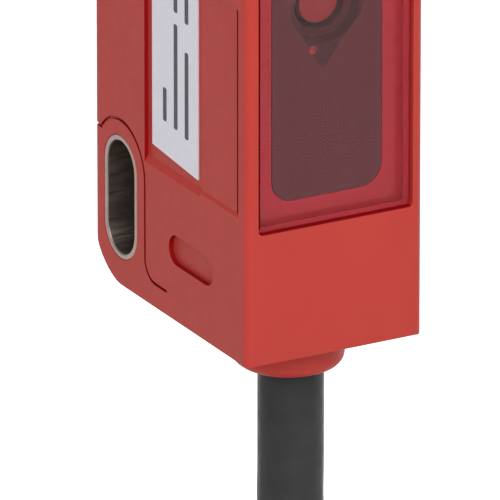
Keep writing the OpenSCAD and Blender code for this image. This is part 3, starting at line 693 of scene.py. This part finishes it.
class SENSOR_OT_camera(bpy.types.Operator):
    """Make the camera at the front left, above the part"""

    bl_idname = "sensor.camera"
    bl_label = "Camera"
    focal_mm = 925.2
    # How far the camera's axis passes left of and above the front's lower edge
    shift_left = 4.816 * MM
    shift_up = 5.733 * MM

    def execute(self, context):
        view = context.scene.sensor_view
        a, e = view.azimuth, view.elevation
        back = Vector((-math.sin(a) * math.cos(e), -math.cos(a) * math.cos(e), math.sin(e)))
        right = Vector((math.cos(a), -math.sin(a), 0))
        up = back.cross(right)
        low_front = Vector((0, FRONT_Y, BOTTOM_Z))
        data = bpy.data.cameras.new("camera")
        data.lens = self.focal_mm
        data.clip_start = 0.05
        data.clip_end = 20
        camera = bpy.data.objects.new("camera", data)
        context.scene.collection.objects.link(camera)
        shift = up * self.shift_up - right * self.shift_left
        camera.location = low_front + back * view.distance + shift
        camera.rotation_mode = "QUATERNION"
        camera.rotation_quaternion = (-back).to_track_quat("-Z", "Y")
        context.scene.camera = camera
        return {"FINISHED"}


class SENSOR_OT_cable(bpy.types.Operator):
    """Make the free cable: the lead, the tied coil and the tail, as one line"""

    bl_idname = "sensor.cable"
    bl_label = "Cable"

    def execute(self, context):
        sizes = context.scene.sensor_sizes
        points = [from_exit(p) for p in LEAD_ROUTE]
        points += coil_points(sizes)
        points += [from_coil(p) for p in TAIL_ROUTE]
        cable = smooth_line("cable", points, CABLE_D / 2, sides=5)
        finish_piece(cable, "cable", ("cable_lead", "cable_coil", "cable_tail"))
        return {"FINISHED"}


class SENSOR_OT_cable_ends(bpy.types.Operator):
    """Make the four cores at the cable's end with their tinned strands"""

    bl_idname = "sensor.cable_ends"
    bl_label = "Cable ends"
    spread = 0.75  # how far the cores lie from the middle, in core diameters
    tip_l = 4.0 * MM
    around = 6
    steps = 8
    twist = 0.5  # turns of the strands along a tip

    def execute(self, context):
        sizes = context.scene.sensor_sizes
        end = Vector(TAIL_ROUTE[-1])
        out = (end - Vector(TAIL_ROUTE[-2])).normalized()
        across = out.cross(Vector((0, 1, 0))).normalized()
        beside = out.cross(across)
        strands = []
        for i, (name, route) in enumerate(CORE_ENDS.items()):
            a = math.radians(45 + 90 * i)
            off = math.cos(a) * across + math.sin(a) * beside
            start = end + self.spread * (sizes.core_d / MM) * off
            points = [from_coil(p) for p in [start, start + out, *route]]
            core = smooth_line(f"{name}_core_end", points, sizes.core_d / 2)
            material = "black_core" if name == "black" else name
            finish_piece(core, material, (f"{name}_end",))
            strands += self.strands(points[-1], points[-1] - points[-2], sizes)
        tips = join(strands, "tinned_strands")
        finish_piece(tips, "tin", ("tinned_tips",))
        return {"FINISHED"}

    def strands(self, start, way, sizes):
        """Seven strands in a slow twist: one in the middle and six round it."""
        way = way.normalized()
        across = way.orthogonal().normalized()
        beside = way.cross(across)
        made = []
        for k in range(self.around + 1):
            reach = sizes.strand_d if k < self.around else 0
            points = []
            for step in range(self.steps + 1):
                share = step / self.steps
                a = math.tau * (k / self.around + self.twist * share)
                off = reach * (math.cos(a) * across + math.sin(a) * beside)
                points.append(start + way * self.tip_l * share + off)
            made.append(as_mesh(smooth_line("strand", points, sizes.strand_d / 2, sides=1, steps=2)))
        return made


class SENSOR_OT_cable_ties(bpy.types.Operator):
    """Make the two ties round the coil, with ribs, heads and cut tails"""

    bl_idname = "sensor.cable_ties"
    bl_label = "Cable ties"
    angles = (18, 198)
    strap_edge = 0.16 * MM
    # Lowest corner over the straps, size and edge of each block, in millimetres
    head = (0.75, -2.47, -1.7), (1.9, 5.9, 3.4), 0.15
    cut_tail = (1.1, 2.3, -1.4), (1.0, 1.6, 2.8), 0.2
    ribs = [((1.0, -7.6 + 0.9 * k, -1.4), (0.3, 0.35, 2.8), 0.06) for k in range(5)]

    def execute(self, context):
        sizes = context.scene.sensor_sizes
        straps = copy_of("cable_ties", "tie_straps")
        round_edges(straps, self.strap_edge)
        finish_piece(straps, "tie", ("cable_ties",))
        outer = sizes.coil_radius + 1.5 * sizes.coil_pitch
        details = [self.head_details(outer, math.radians(degrees)) for degrees in self.angles]
        finish_piece(join(details, "tie_heads"), "tie")
        return {"FINISHED"}

    def head_details(self, outer, a):
        """The block round a head, the tail that comes out of it and the ribs on the strap."""
        blocks = []
        for place, size, edge in (self.head, self.cut_tail, *self.ribs):
            low = Vector(place) * MM + Vector((outer, 0, 0))
            blocks.append(soften(add_block(low, low + Vector(size) * MM), edge * MM))
        turned = join(blocks, "tie_details")
        bpy.ops.transform.rotate(value=a, orient_axis="Y", center_override=(0, 0, 0))
        bpy.ops.transform.translate(value=from_coil((0, 0, 0)))
        return turned


class SENSOR_OT_cord(bpy.types.Operator):
    bl_idname = "sensor.cord"
    bl_label = "Cord"

    def execute(self, context):
        return {"FINISHED"}


# ---- housing ----


class SENSOR_OT_housing(bpy.types.Operator):
    """Round the fine edges of the moulded housing and paint shade on its seat and on the walls of its
    grooves and window opening
    """

    bl_idname = "sensor.housing"
    bl_label = "Housing"
    groove_depth = 0.2 * MM
    opening_margin = 0.1 * MM

    def execute(self, context):
        sizes = context.scene.sensor_sizes
        shell = copy_of("housing", "housing_shell")
        round_edges(shell, sizes.housing_edge)
        finish_piece(shell, "housing", ("housing",))
        shell.data.materials.append(FINISHES["ledge"])
        shell.data.materials.append(FINISHES["bond"])
        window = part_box("front_window")
        # Painted shade: the seat behind the window gets the darker ledge copy of the red, and the walls
        # of the side grooves and of the window's opening get the deep red
        for face in shell.data.polygons:
            if self.beside_window(face, *window) or self.in_side_groove(face):
                face.material_index = 2
            elif self.on_seat(face, window[1].y):
                face.material_index = 1
            else:
                face.material_index = 0
        return {"FINISHED"}

    def on_seat(self, face, seat_y):
        """Whether a face is the seat behind the window, which gets painted shade."""
        return abs(face.center.y - seat_y) < NEAR and face.normal.y < -FACING

    def beside_window(self, face, low, high):
        """Whether a face is the wall above or below the window, which gets painted shade."""
        place = face.center
        deep = FRONT_Y < place.y < high.y and abs(face.normal.z) > 0.7
        across = abs(place.x) < high.x + self.opening_margin
        along = low.z - self.opening_margin < place.z < high.z + self.opening_margin
        return deep and across and along

    def in_side_groove(self, face):
        """Whether a face is a wall of one of the shallow grooves in the sides, which gets painted
        shade.
        """
        inside = abs(SIDE_X) - abs(face.center.x)
        return NEAR < inside < self.groove_depth and abs(face.normal.x) < 0.3


class SENSOR_OT_window(bpy.types.Operator):
    """Make the tinted front window, with thin air behind it and a gap at its left"""

    bl_idname = "sensor.window"
    bl_label = "Front window"
    air = 0.04 * MM
    left_gap = 0.2 * MM

    def execute(self, context):
        sizes = context.scene.sensor_sizes
        pane = copy_of("front_window", "window_pane")
        low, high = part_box("front_window")
        pick(pane, "VERT", lambda v: abs(v.co.y - high.y) < NEAR)
        bpy.ops.transform.translate(value=(0, -self.air, 0))
        object_mode()
        pick(pane, "VERT", lambda v: abs(v.co.x - low.x) < NEAR)
        bpy.ops.transform.translate(value=(self.left_gap, 0, 0))
        object_mode()
        round_edges(pane, sizes.window_edge)
        finish_piece(pane, "window", ("front_window",))
        pane.data.materials.append(FINISHES["pane_edge_painted_light"])
        pane.data.materials.append(FINISHES["bond"])
        # Painted light: the window's edge faces get the bright opaque red
        for face in pane.data.polygons:
            face.material_index = 1 if abs(face.normal.y) < 0.5 else 0
            # Painted shade: the window's left edge face gets the deep red of the gaps
            if face.normal.x < -FACING:
                face.material_index = 2
        return {"FINISHED"}


class SENSOR_OT_sleeves(bpy.types.Operator):
    """Round the rims of the two mounting sleeves and give their bores a rougher finish, darker as
    painted shade
    """

    bl_idname = "sensor.sleeves"
    bl_label = "Mounting sleeves"

    def execute(self, context):
        sizes = context.scene.sensor_sizes
        for node in ("upper_mounting_sleeve", "lower_mounting_sleeve"):
            sleeve = copy_of(node, node.replace("mounting_", ""))
            round_edges(sleeve, sizes.sleeve_edge, segments=3)
            finish_piece(sleeve, "steel", (node,))
            low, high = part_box(node)
            mid_z = (low.z + high.z) / 2
            run = (high.z - low.z - high.y + low.y) / 2  # half of the slot's straight part
            # Painted shade: the inner faces of the bores get the darker, rougher finish
            sleeve.data.materials.append(FINISHES["bore"])
            for face in sleeve.data.polygons:
                out = Vector((0, face.center.y, face.center.z - mid_z))
                out.z -= max(-run, min(run, out.z))
                inside = face.normal.dot(out) < 0 and abs(face.normal.x) < 0.5
                face.material_index = 1 if inside else 0
        return {"FINISHED"}


class SENSOR_OT_label(bpy.types.Operator):
    """Print plain bars on the label"""

    bl_idname = "sensor.label"
    bl_label = "Label print"
    # For each row: how far it lies across the label, as a share; then in millimetres how far up
    # it starts, and its bars and gaps in turn
    rows = {
        0.28: (0.9, 2.0, 5.4, 0.8, 3.1, 0.8, 2.6),
        0.52: (0.8, 6.3, 0.7, 2.8, 0.7, 3.2),
        0.76: (0.6, 5.2, 1.7, 2.9, 0.7, 4.1),
    }
    bar_w = 0.42 * MM
    margin = 1.4 * MM
    rounding = 0.3  # share of a bar's width

    def execute(self, context):
        sizes = context.scene.sensor_sizes
        low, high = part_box("label")
        face_x = low.x
        bars = []
        for share, spans in self.rows.items():
            y = high.y + (low.y - high.y) * share
            z = low.z + self.margin + spans[0] * MM
            for i, span in enumerate(spans[1:]):
                if i % 2 == 0:
                    bar = add_block(
                        (face_x - sizes.print_t, y - self.bar_w / 2, z),
                        (face_x + sizes.print_t, y + self.bar_w / 2, z + span * MM),
                    )
                    bars.append(self.round_ends(bar))
                z += span * MM
        finish_piece(join(bars, "label_bars"), "ink")
        return {"FINISHED"}

    def round_ends(self, bar):
        """Rounds the corners of a bar."""
        pick(bar, "EDGE", lambda edge: self.runs_through(bar, edge))
        bpy.ops.mesh.bevel(offset=self.bar_w * self.rounding, segments=3)
        object_mode()
        return bar

    def runs_through(self, bar, edge):
        """Whether an edge runs through the thickness of the print."""
        a, b = (bar.data.vertices[i].co for i in edge.vertices)
        return abs(a.x - b.x) > NEAR


class SENSOR_OT_top_marks(bpy.types.Operator):
    """Print tick marks round the two adjusters"""

    bl_idname = "sensor.top_marks"
    bl_label = "Marks on the top"
    tick_w = 0.1 * MM
    tick_from = 1.62 * MM
    tick_to = 1.92 * MM
    tick_edge = 0.004 * MM
    # Where the ticks stand round each adjuster, in degrees from the back
    angles = {"sensitivity_spindle": range(-135, 136, 45), "mode_spindle": (0, -90)}

    def execute(self, context):
        sizes = context.scene.sensor_sizes
        ticks = []
        for node, angles in self.angles.items():
            low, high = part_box(node)
            x, y = (low.x + high.x) / 2, (low.y + high.y) / 2
            for degrees in angles:
                tick = add_block(
                    (-self.tick_w / 2, self.tick_from, -sizes.print_t),
                    (self.tick_w / 2, self.tick_to, sizes.print_t),
                )
                soften(tick, self.tick_edge)
                bpy.ops.transform.rotate(
                    value=math.radians(degrees), orient_axis="Z", center_override=(0, 0, 0)
                )
                bpy.ops.transform.translate(value=(x, y, TOP_Z))
                bpy.ops.object.transform_apply()
                ticks.append(tick)
        finish_piece(join(ticks, "top_marks"), "mark")
        return {"FINISHED"}


# ---- inner parts ----


class SENSOR_OT_edged_parts(bpy.types.Operator):
    """Round the fine edges of the controls, the optics, the boards and their parts"""

    bl_idname = "sensor.edged_parts"
    bl_label = "Controls, optics and boards"
    names = {"optics_carrier": "carrier_block", "green_led": "green_lamp", "yellow_led": "yellow_lamp"}

    def execute(self, context):
        sizes = context.scene.sensor_sizes
        for node, (finish, slot) in EDGED_NODES.items():
            piece = copy_of(node, self.names.get(node, f"{node}_body"))
            round_edges(piece, sizes.small_edge)
            finish_piece(piece, finish, (node,), BODY_OF[node])
        return {"FINISHED"}


class SENSOR_OT_board_details(bpy.types.Operator):
    """Add the legs, end caps and marks of the parts on the main board"""

    bl_idname = "sensor.board_details"
    bl_label = "Board details"
    # Chips with legs: how many on each side, and their pitch in millimetres
    chips = {"sensor_asic": (7, 0.5), "driver_ic": (5, 0.55)}
    leg_reach = 0.32 * MM
    leg_w = 0.24 * MM
    leg_t = 0.09 * MM
    foot = 0.2 * MM
    # How the leg runs on from its foot, along and up, and how far it is lifted off the board
    rises = ((0.06 * MM, 0.28 * MM), (0.18 * MM, 0))
    lift = 0.01 * MM
    # Small parts in two rows: how many, the first one's height over the middle and the step, in
    # millimetres, and how far that middle lies over the large chip's
    small_parts = {"ceramic_capacitors": (3, -3.65, 1.3), "chip_resistors": (4, 0.15, 1.25)}
    parts_over_asic = 2.35 * MM
    part_w = 0.5 * MM
    part_l = 1.0 * MM
    cap_l = 0.22 * MM
    skin = 0.015 * MM
    cap_edge = 0.03 * MM
    # Marks: the dot by the first leg and the bar on the polar parts
    dot_r = 0.2 * MM
    dot_in = 0.5 * MM
    dot_edge = 0.03 * MM
    bar_from = 0.15 * MM
    bar_to = 0.5 * MM
    bar_margin = 0.1 * MM
    bar_edge = 0.004 * MM
    ink_t = 0.01 * MM

    def execute(self, context):
        legs = []
        for node, (count, pitch) in self.chips.items():
            low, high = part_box(node)
            mid_z = (low.z + high.z) / 2
            for k in range(count):
                z = mid_z + (k - (count - 1) / 2) * pitch * MM
                for side, x in ((-1, low.x), (1, high.x)):
                    legs.append(self.leg(x, side, low.y, z))
        caps = []
        for node, row in self.small_parts.items():
            caps += self.end_caps(node, *row)
        finish_piece(join(legs, "chip_legs"), "tin")
        finish_piece(join(caps, "chip_end_caps"), "tin")
        finish_piece(join(self.marks(), "chip_marks"), "mark")
        return {"FINISHED"}

    def leg(self, x, side, y, z):
        """One gull-wing leg: a foot on the board, a riser and a shoulder into the chip."""
        bpy.ops.mesh.primitive_plane_add(size=1, location=(0, 0, 0))
        piece = bpy.context.object
        piece.scale = (self.foot, self.leg_w, 1)
        bpy.ops.object.transform_apply()
        for along, up in self.rises:
            far = max(v.co.x + v.co.z for v in piece.data.vertices)
            pick(piece, "VERT", lambda v: v.co.x + v.co.z > far - NEAR)
            bpy.ops.mesh.select_mode(type="EDGE")
            bpy.ops.mesh.extrude_edges_move(TRANSFORM_OT_translate={"value": (along, 0, up)})
            object_mode()
        thicken(piece, self.leg_t, 1)
        for vertex in piece.data.vertices:
            along, wide, up = vertex.co
            vertex.co = (x + side * (self.leg_reach - along), y + self.lift + up, z + wide)
        face_outwards(piece)
        return piece

    def end_caps(self, node, count, first, step):
        """The soldered ends of the parts in two rows."""
        low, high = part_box(node)
        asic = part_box("sensor_asic")
        parts_z = (asic[0].z + asic[1].z) / 2 + self.parts_over_asic
        made = []
        for side in (-1, 1):
            outer = high.x if side > 0 else low.x
            inner = outer - side * self.part_w
            for k in range(count):
                mid = parts_z + (first + step * k) * MM
                for z in (mid - self.part_l / 2, mid + self.part_l / 2 - self.cap_l):
                    cap = add_block(
                        (min(outer, inner) - self.skin, low.y, z - self.skin),
                        (max(outer, inner) + self.skin, high.y + self.skin, z + self.cap_l + self.skin),
                    )
                    made.append(soften(cap, self.cap_edge))
        return made

    def marks(self):
        """A dot at the first leg of each chip and a bar on the polar parts."""
        made = []
        for node in self.chips:
            low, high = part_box(node)
            place = (low.x + self.dot_in, high.y, high.z - self.dot_in)
            dot = add_disc(place, self.dot_r, 2 * self.ink_t, 24)
            pick(dot, "FACE", lambda face: abs(face.normal.y) > FACING)
            bpy.ops.mesh.inset(thickness=self.dot_edge)
            object_mode()
            made.append(dot)
        for node in ("tantalum_capacitor", "protection_diode"):
            low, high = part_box(node)
            bar = add_block(
                (low.x + self.bar_from, high.y - self.ink_t, low.z + self.bar_margin),
                (low.x + self.bar_to, high.y + self.ink_t, high.z - self.bar_margin),
            )
            made.append(soften(bar, self.bar_edge))
        return made


class SENSOR_OT_optic_details(bpy.types.Operator):
    """Add a red disc for a painted glint and a thin black drop-shaped sheet for a painted shadow round
    the lens to the carrier's face
    """

    bl_idname = "sensor.optic_details"
    bl_label = "Optic details"
    # The red disc of the painted glint: its place, size, and how its face is dished
    glint_x = -0.9 * MM
    glint_above_bottom = 17.9 * MM
    glint_r = 0.24 * MM
    glint_t = 0.2 * MM
    glint_sunk = 0.08 * MM
    dish_edge = 0.06 * MM
    dish = 0.008 * MM
    # The painted shadow round the lens, a thin black drop-shaped sheet: its thickness, how far it
    # stands off the face, how much wider than the lens ring it is, and its point, which begins at a
    # share of the ring's radius below the middle
    shadow_drop_t = 0.004 * MM
    shadow_drop_gap = 0.003 * MM
    shadow_drop_spread = 1.1
    point_from = 0.35
    point_l = 2.1 * MM
    point_narrows = 0.7
    point_leans = 0.35 * MM

    def execute(self, context):
        face_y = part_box("optics_carrier")[0].y
        # Painted glint: a small red disc below the lens stands in for a glint of red light
        place = (self.glint_x, face_y + self.glint_sunk, BOTTOM_Z + self.glint_above_bottom)
        glint_disc = add_disc(place, self.glint_r, self.glint_t, 32)
        pick(glint_disc, "FACE", lambda face: face.normal.y < -FACING)
        bpy.ops.mesh.inset(thickness=self.dish_edge)
        bpy.ops.transform.translate(value=(0, self.dish, 0))
        object_mode()
        glint_disc.name = "carrier_painted_glint"
        finish_piece(glint_disc, "emitter")
        # Painted shadow: a black sheet round the lens
        finish_piece(self.shadow_drop(face_y), "black")
        return {"FINISHED"}

    def shadow_drop(self, face_y):
        """A thin black drop-shaped sheet round the lens, with its point below: a painted shadow."""
        low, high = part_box("lens_ring")
        radius = (high.x - low.x) / 2
        mid_z = (low.z + high.z) / 2
        bpy.ops.mesh.primitive_circle_add(
            vertices=64, radius=radius, rotation=UPRIGHT,
            location=(0, face_y - self.shadow_drop_gap, mid_z),
        )
        shadow_drop = bpy.context.object
        bpy.ops.object.transform_apply()
        pick(shadow_drop, "EDGE", lambda edge: True)
        bpy.ops.mesh.extrude_edges_move()
        spread = (self.shadow_drop_spread, 1, self.shadow_drop_spread)
        bpy.ops.transform.resize(value=spread, center_override=(0, face_y, mid_z))
        object_mode()
        for vertex in shadow_drop.data.vertices:
            if vertex.select:
                under = max(0, (mid_z - vertex.co.z) / radius - self.point_from)
                vertex.co.z -= self.point_l * under * under
                vertex.co.x *= 1 - self.point_narrows * under
                vertex.co.x -= self.point_leans * under
        thicken(shadow_drop, self.shadow_drop_t, -1)
        face_outwards(shadow_drop)
        shadow_drop.name = "lens_painted_shadow"
        return shadow_drop


class SENSOR_OT_node_finishes(bpy.types.Operator):
    """Give the nodes that are shown as they are their finish"""

    bl_idname = "sensor.node_finishes"
    bl_label = "Finishes of plain nodes"

    def execute(self, context):
        for node, finish in NODE_FINISH.items():
            slots = NODES[node].material_slots
            if not slots:
                raise RuntimeError(f"{node} has no material slot")
            for slot in slots:
                slot.material = FINISHES[finish]
        return {"FINISHED"}


# ---- stage ----


class SENSOR_OT_stage(bpy.types.Operator):
    """Make the floor, the white surroundings and the soft lamps"""

    bl_idname = "sensor.stage"
    bl_label = "Stage"
    # Where the lamps stand, their size and what they light, in metres
    key_place = (-0.13, -0.66, 0.52)
    side_place = (-0.80, -0.14, 0.30)
    back_place = (0.66, 0.44, 0.34)
    lamp_size = 0.5
    aim = (0, -0.006, -0.015)
    # How strongly glossy surfaces mirror the white surroundings
    mirrored_share = 0.4
    floor_size = 6
    floor_white = (0.9, 0.9, 0.9, 1)
    floor_glow = 0.62

    def execute(self, context):
        view = context.scene.sensor_view
        self.floor()
        self.surroundings(context.scene, view.ambient)
        self.lamp("key_lamp", view.key_light, self.key_place)
        self.lamp("side_lamp", view.side_light, self.side_place)
        self.lamp("back_lamp", view.back_light, self.back_place)
        context.scene.view_settings.view_transform = "Standard"
        return {"FINISHED"}

    def maths(self, tree, operation, value, other):
        """A value combined with a second one, which may be a plain number."""
        node = tree.nodes.new("ShaderNodeMath")
        node.operation = operation
        tree.links.new(value, node.inputs[0])
        if isinstance(other, float):
            node.inputs[1].default_value = other
        else:
            tree.links.new(other, node.inputs[1])
        return node.outputs["Value"]

    def seen(self, tree):
        """One for rays from the camera or a clear surface, less for rays from a glossy one."""
        rays = tree.nodes.new("ShaderNodeLightPath").outputs
        value = self.maths(tree, "MULTIPLY", rays["Is Glossy Ray"], self.mirrored_share)
        value = self.maths(tree, "MAXIMUM", value, rays["Is Camera Ray"])
        return self.maths(tree, "MAXIMUM", value, rays["Is Transmission Ray"])

    def floor(self):
        """A pale floor under the lowest point, bright enough to melt into the white."""
        bpy.ops.mesh.primitive_plane_add(size=self.floor_size, location=(0, 0, CAD_BOX[0].z))
        floor = bpy.context.object
        floor.name = "floor"
        bpy.ops.object.transform_apply()
        material = bpy.data.materials.new("floor_paper")
        material.use_nodes = True
        tree = material.node_tree
        shader = tree.nodes["Principled BSDF"].inputs
        shader["Base Color"].default_value = self.floor_white
        shader["Roughness"].default_value = 0.9
        shader["Specular IOR Level"].default_value = 0.0
        shader["Emission Color"].default_value = (1, 1, 1, 1)
        glow = self.maths(tree, "MULTIPLY", self.seen(tree), self.floor_glow)
        tree.links.new(glow, shader["Emission Strength"])
        floor.data.materials.append(material)

    def surroundings(self, scene, ambient):
        """White to look at, but only a dim light from all round."""
        world = bpy.data.worlds.new("surroundings")
        world.use_nodes = True
        scene.world = world
        tree = world.node_tree
        background = tree.nodes["Background"].inputs
        background["Color"].default_value = (1, 1, 1, 1)
        mix = tree.nodes.new("ShaderNodeMapRange")
        mix.inputs["To Min"].default_value = ambient
        tree.links.new(self.seen(tree), mix.inputs["Value"])
        tree.links.new(mix.outputs["Result"], background["Strength"])

    def lamp(self, name, watts, place):
        """A square lamp that shines on the sensor and can't be seen through the window."""
        data = bpy.data.lights.new(name, "AREA")
        data.energy = watts
        data.size = self.lamp_size
        lamp = bpy.data.objects.new(name, data)
        bpy.context.scene.collection.objects.link(lamp)
        lamp.location = place
        lamp.visible_transmission = False
        lamp.rotation_mode = "QUATERNION"
        lamp.rotation_quaternion = (Vector(self.aim) - Vector(place)).to_track_quat("-Z", "Y")


class SENSOR_PT_panel(bpy.types.Panel):
    """Sizes, colours and steps of the sensor"""

    bl_label = "Photoelectric Sensor"
    bl_space_type = "VIEW_3D"
    bl_region_type = "UI"
    bl_category = "Sensor"

    def draw(self, context):
        layout = self.layout
        for group in (
            context.scene.sensor_sizes, context.scene.sensor_colours, context.scene.sensor_view
        ):
            column = layout.column(align=True)
            for name in group.__annotations__:
                column.prop(group, name)
        column = layout.column(align=True)
        for step in STEPS:
            column.operator(step.bl_idname)


STEPS = (
    SENSOR_OT_camera,
    SENSOR_OT_cable,
    SENSOR_OT_cable_ends,
    SENSOR_OT_cable_ties,
    SENSOR_OT_cord,
    SENSOR_OT_housing,
    SENSOR_OT_window,
    SENSOR_OT_sleeves,
    SENSOR_OT_label,
    SENSOR_OT_top_marks,
    SENSOR_OT_edged_parts,
    SENSOR_OT_board_details,
    SENSOR_OT_optic_details,
    SENSOR_OT_node_finishes,
    SENSOR_OT_stage,
)
GROUPS = (SensorSizes, SensorColours, SensorView)


def register():
    for group in GROUPS:
        bpy.utils.register_class(group)
    bpy.types.Scene.sensor_sizes = bpy.props.PointerProperty(type=SensorSizes)
    bpy.types.Scene.sensor_colours = bpy.props.PointerProperty(type=SensorColours)
    bpy.types.Scene.sensor_view = bpy.props.PointerProperty(type=SensorView)
    for step in STEPS:
        bpy.utils.register_class(step)
    bpy.utils.register_class(SENSOR_PT_panel)


def unregister():
    bpy.utils.unregister_class(SENSOR_PT_panel)
    for step in reversed(STEPS):
        bpy.utils.unregister_class(step)
    del bpy.types.Scene.sensor_view
    del bpy.types.Scene.sensor_colours
    del bpy.types.Scene.sensor_sizes
    for group in reversed(GROUPS):
        bpy.utils.unregister_class(group)


def main():
    """Makes everything."""
    register()
    FINISHES.update(make_finishes(bpy.context.scene.sensor_colours))
    for step in STEPS:
        group, name = step.bl_idname.split(".")
        getattr(getattr(bpy.ops, group), name)()


if __name__ == "__main__":
    main()
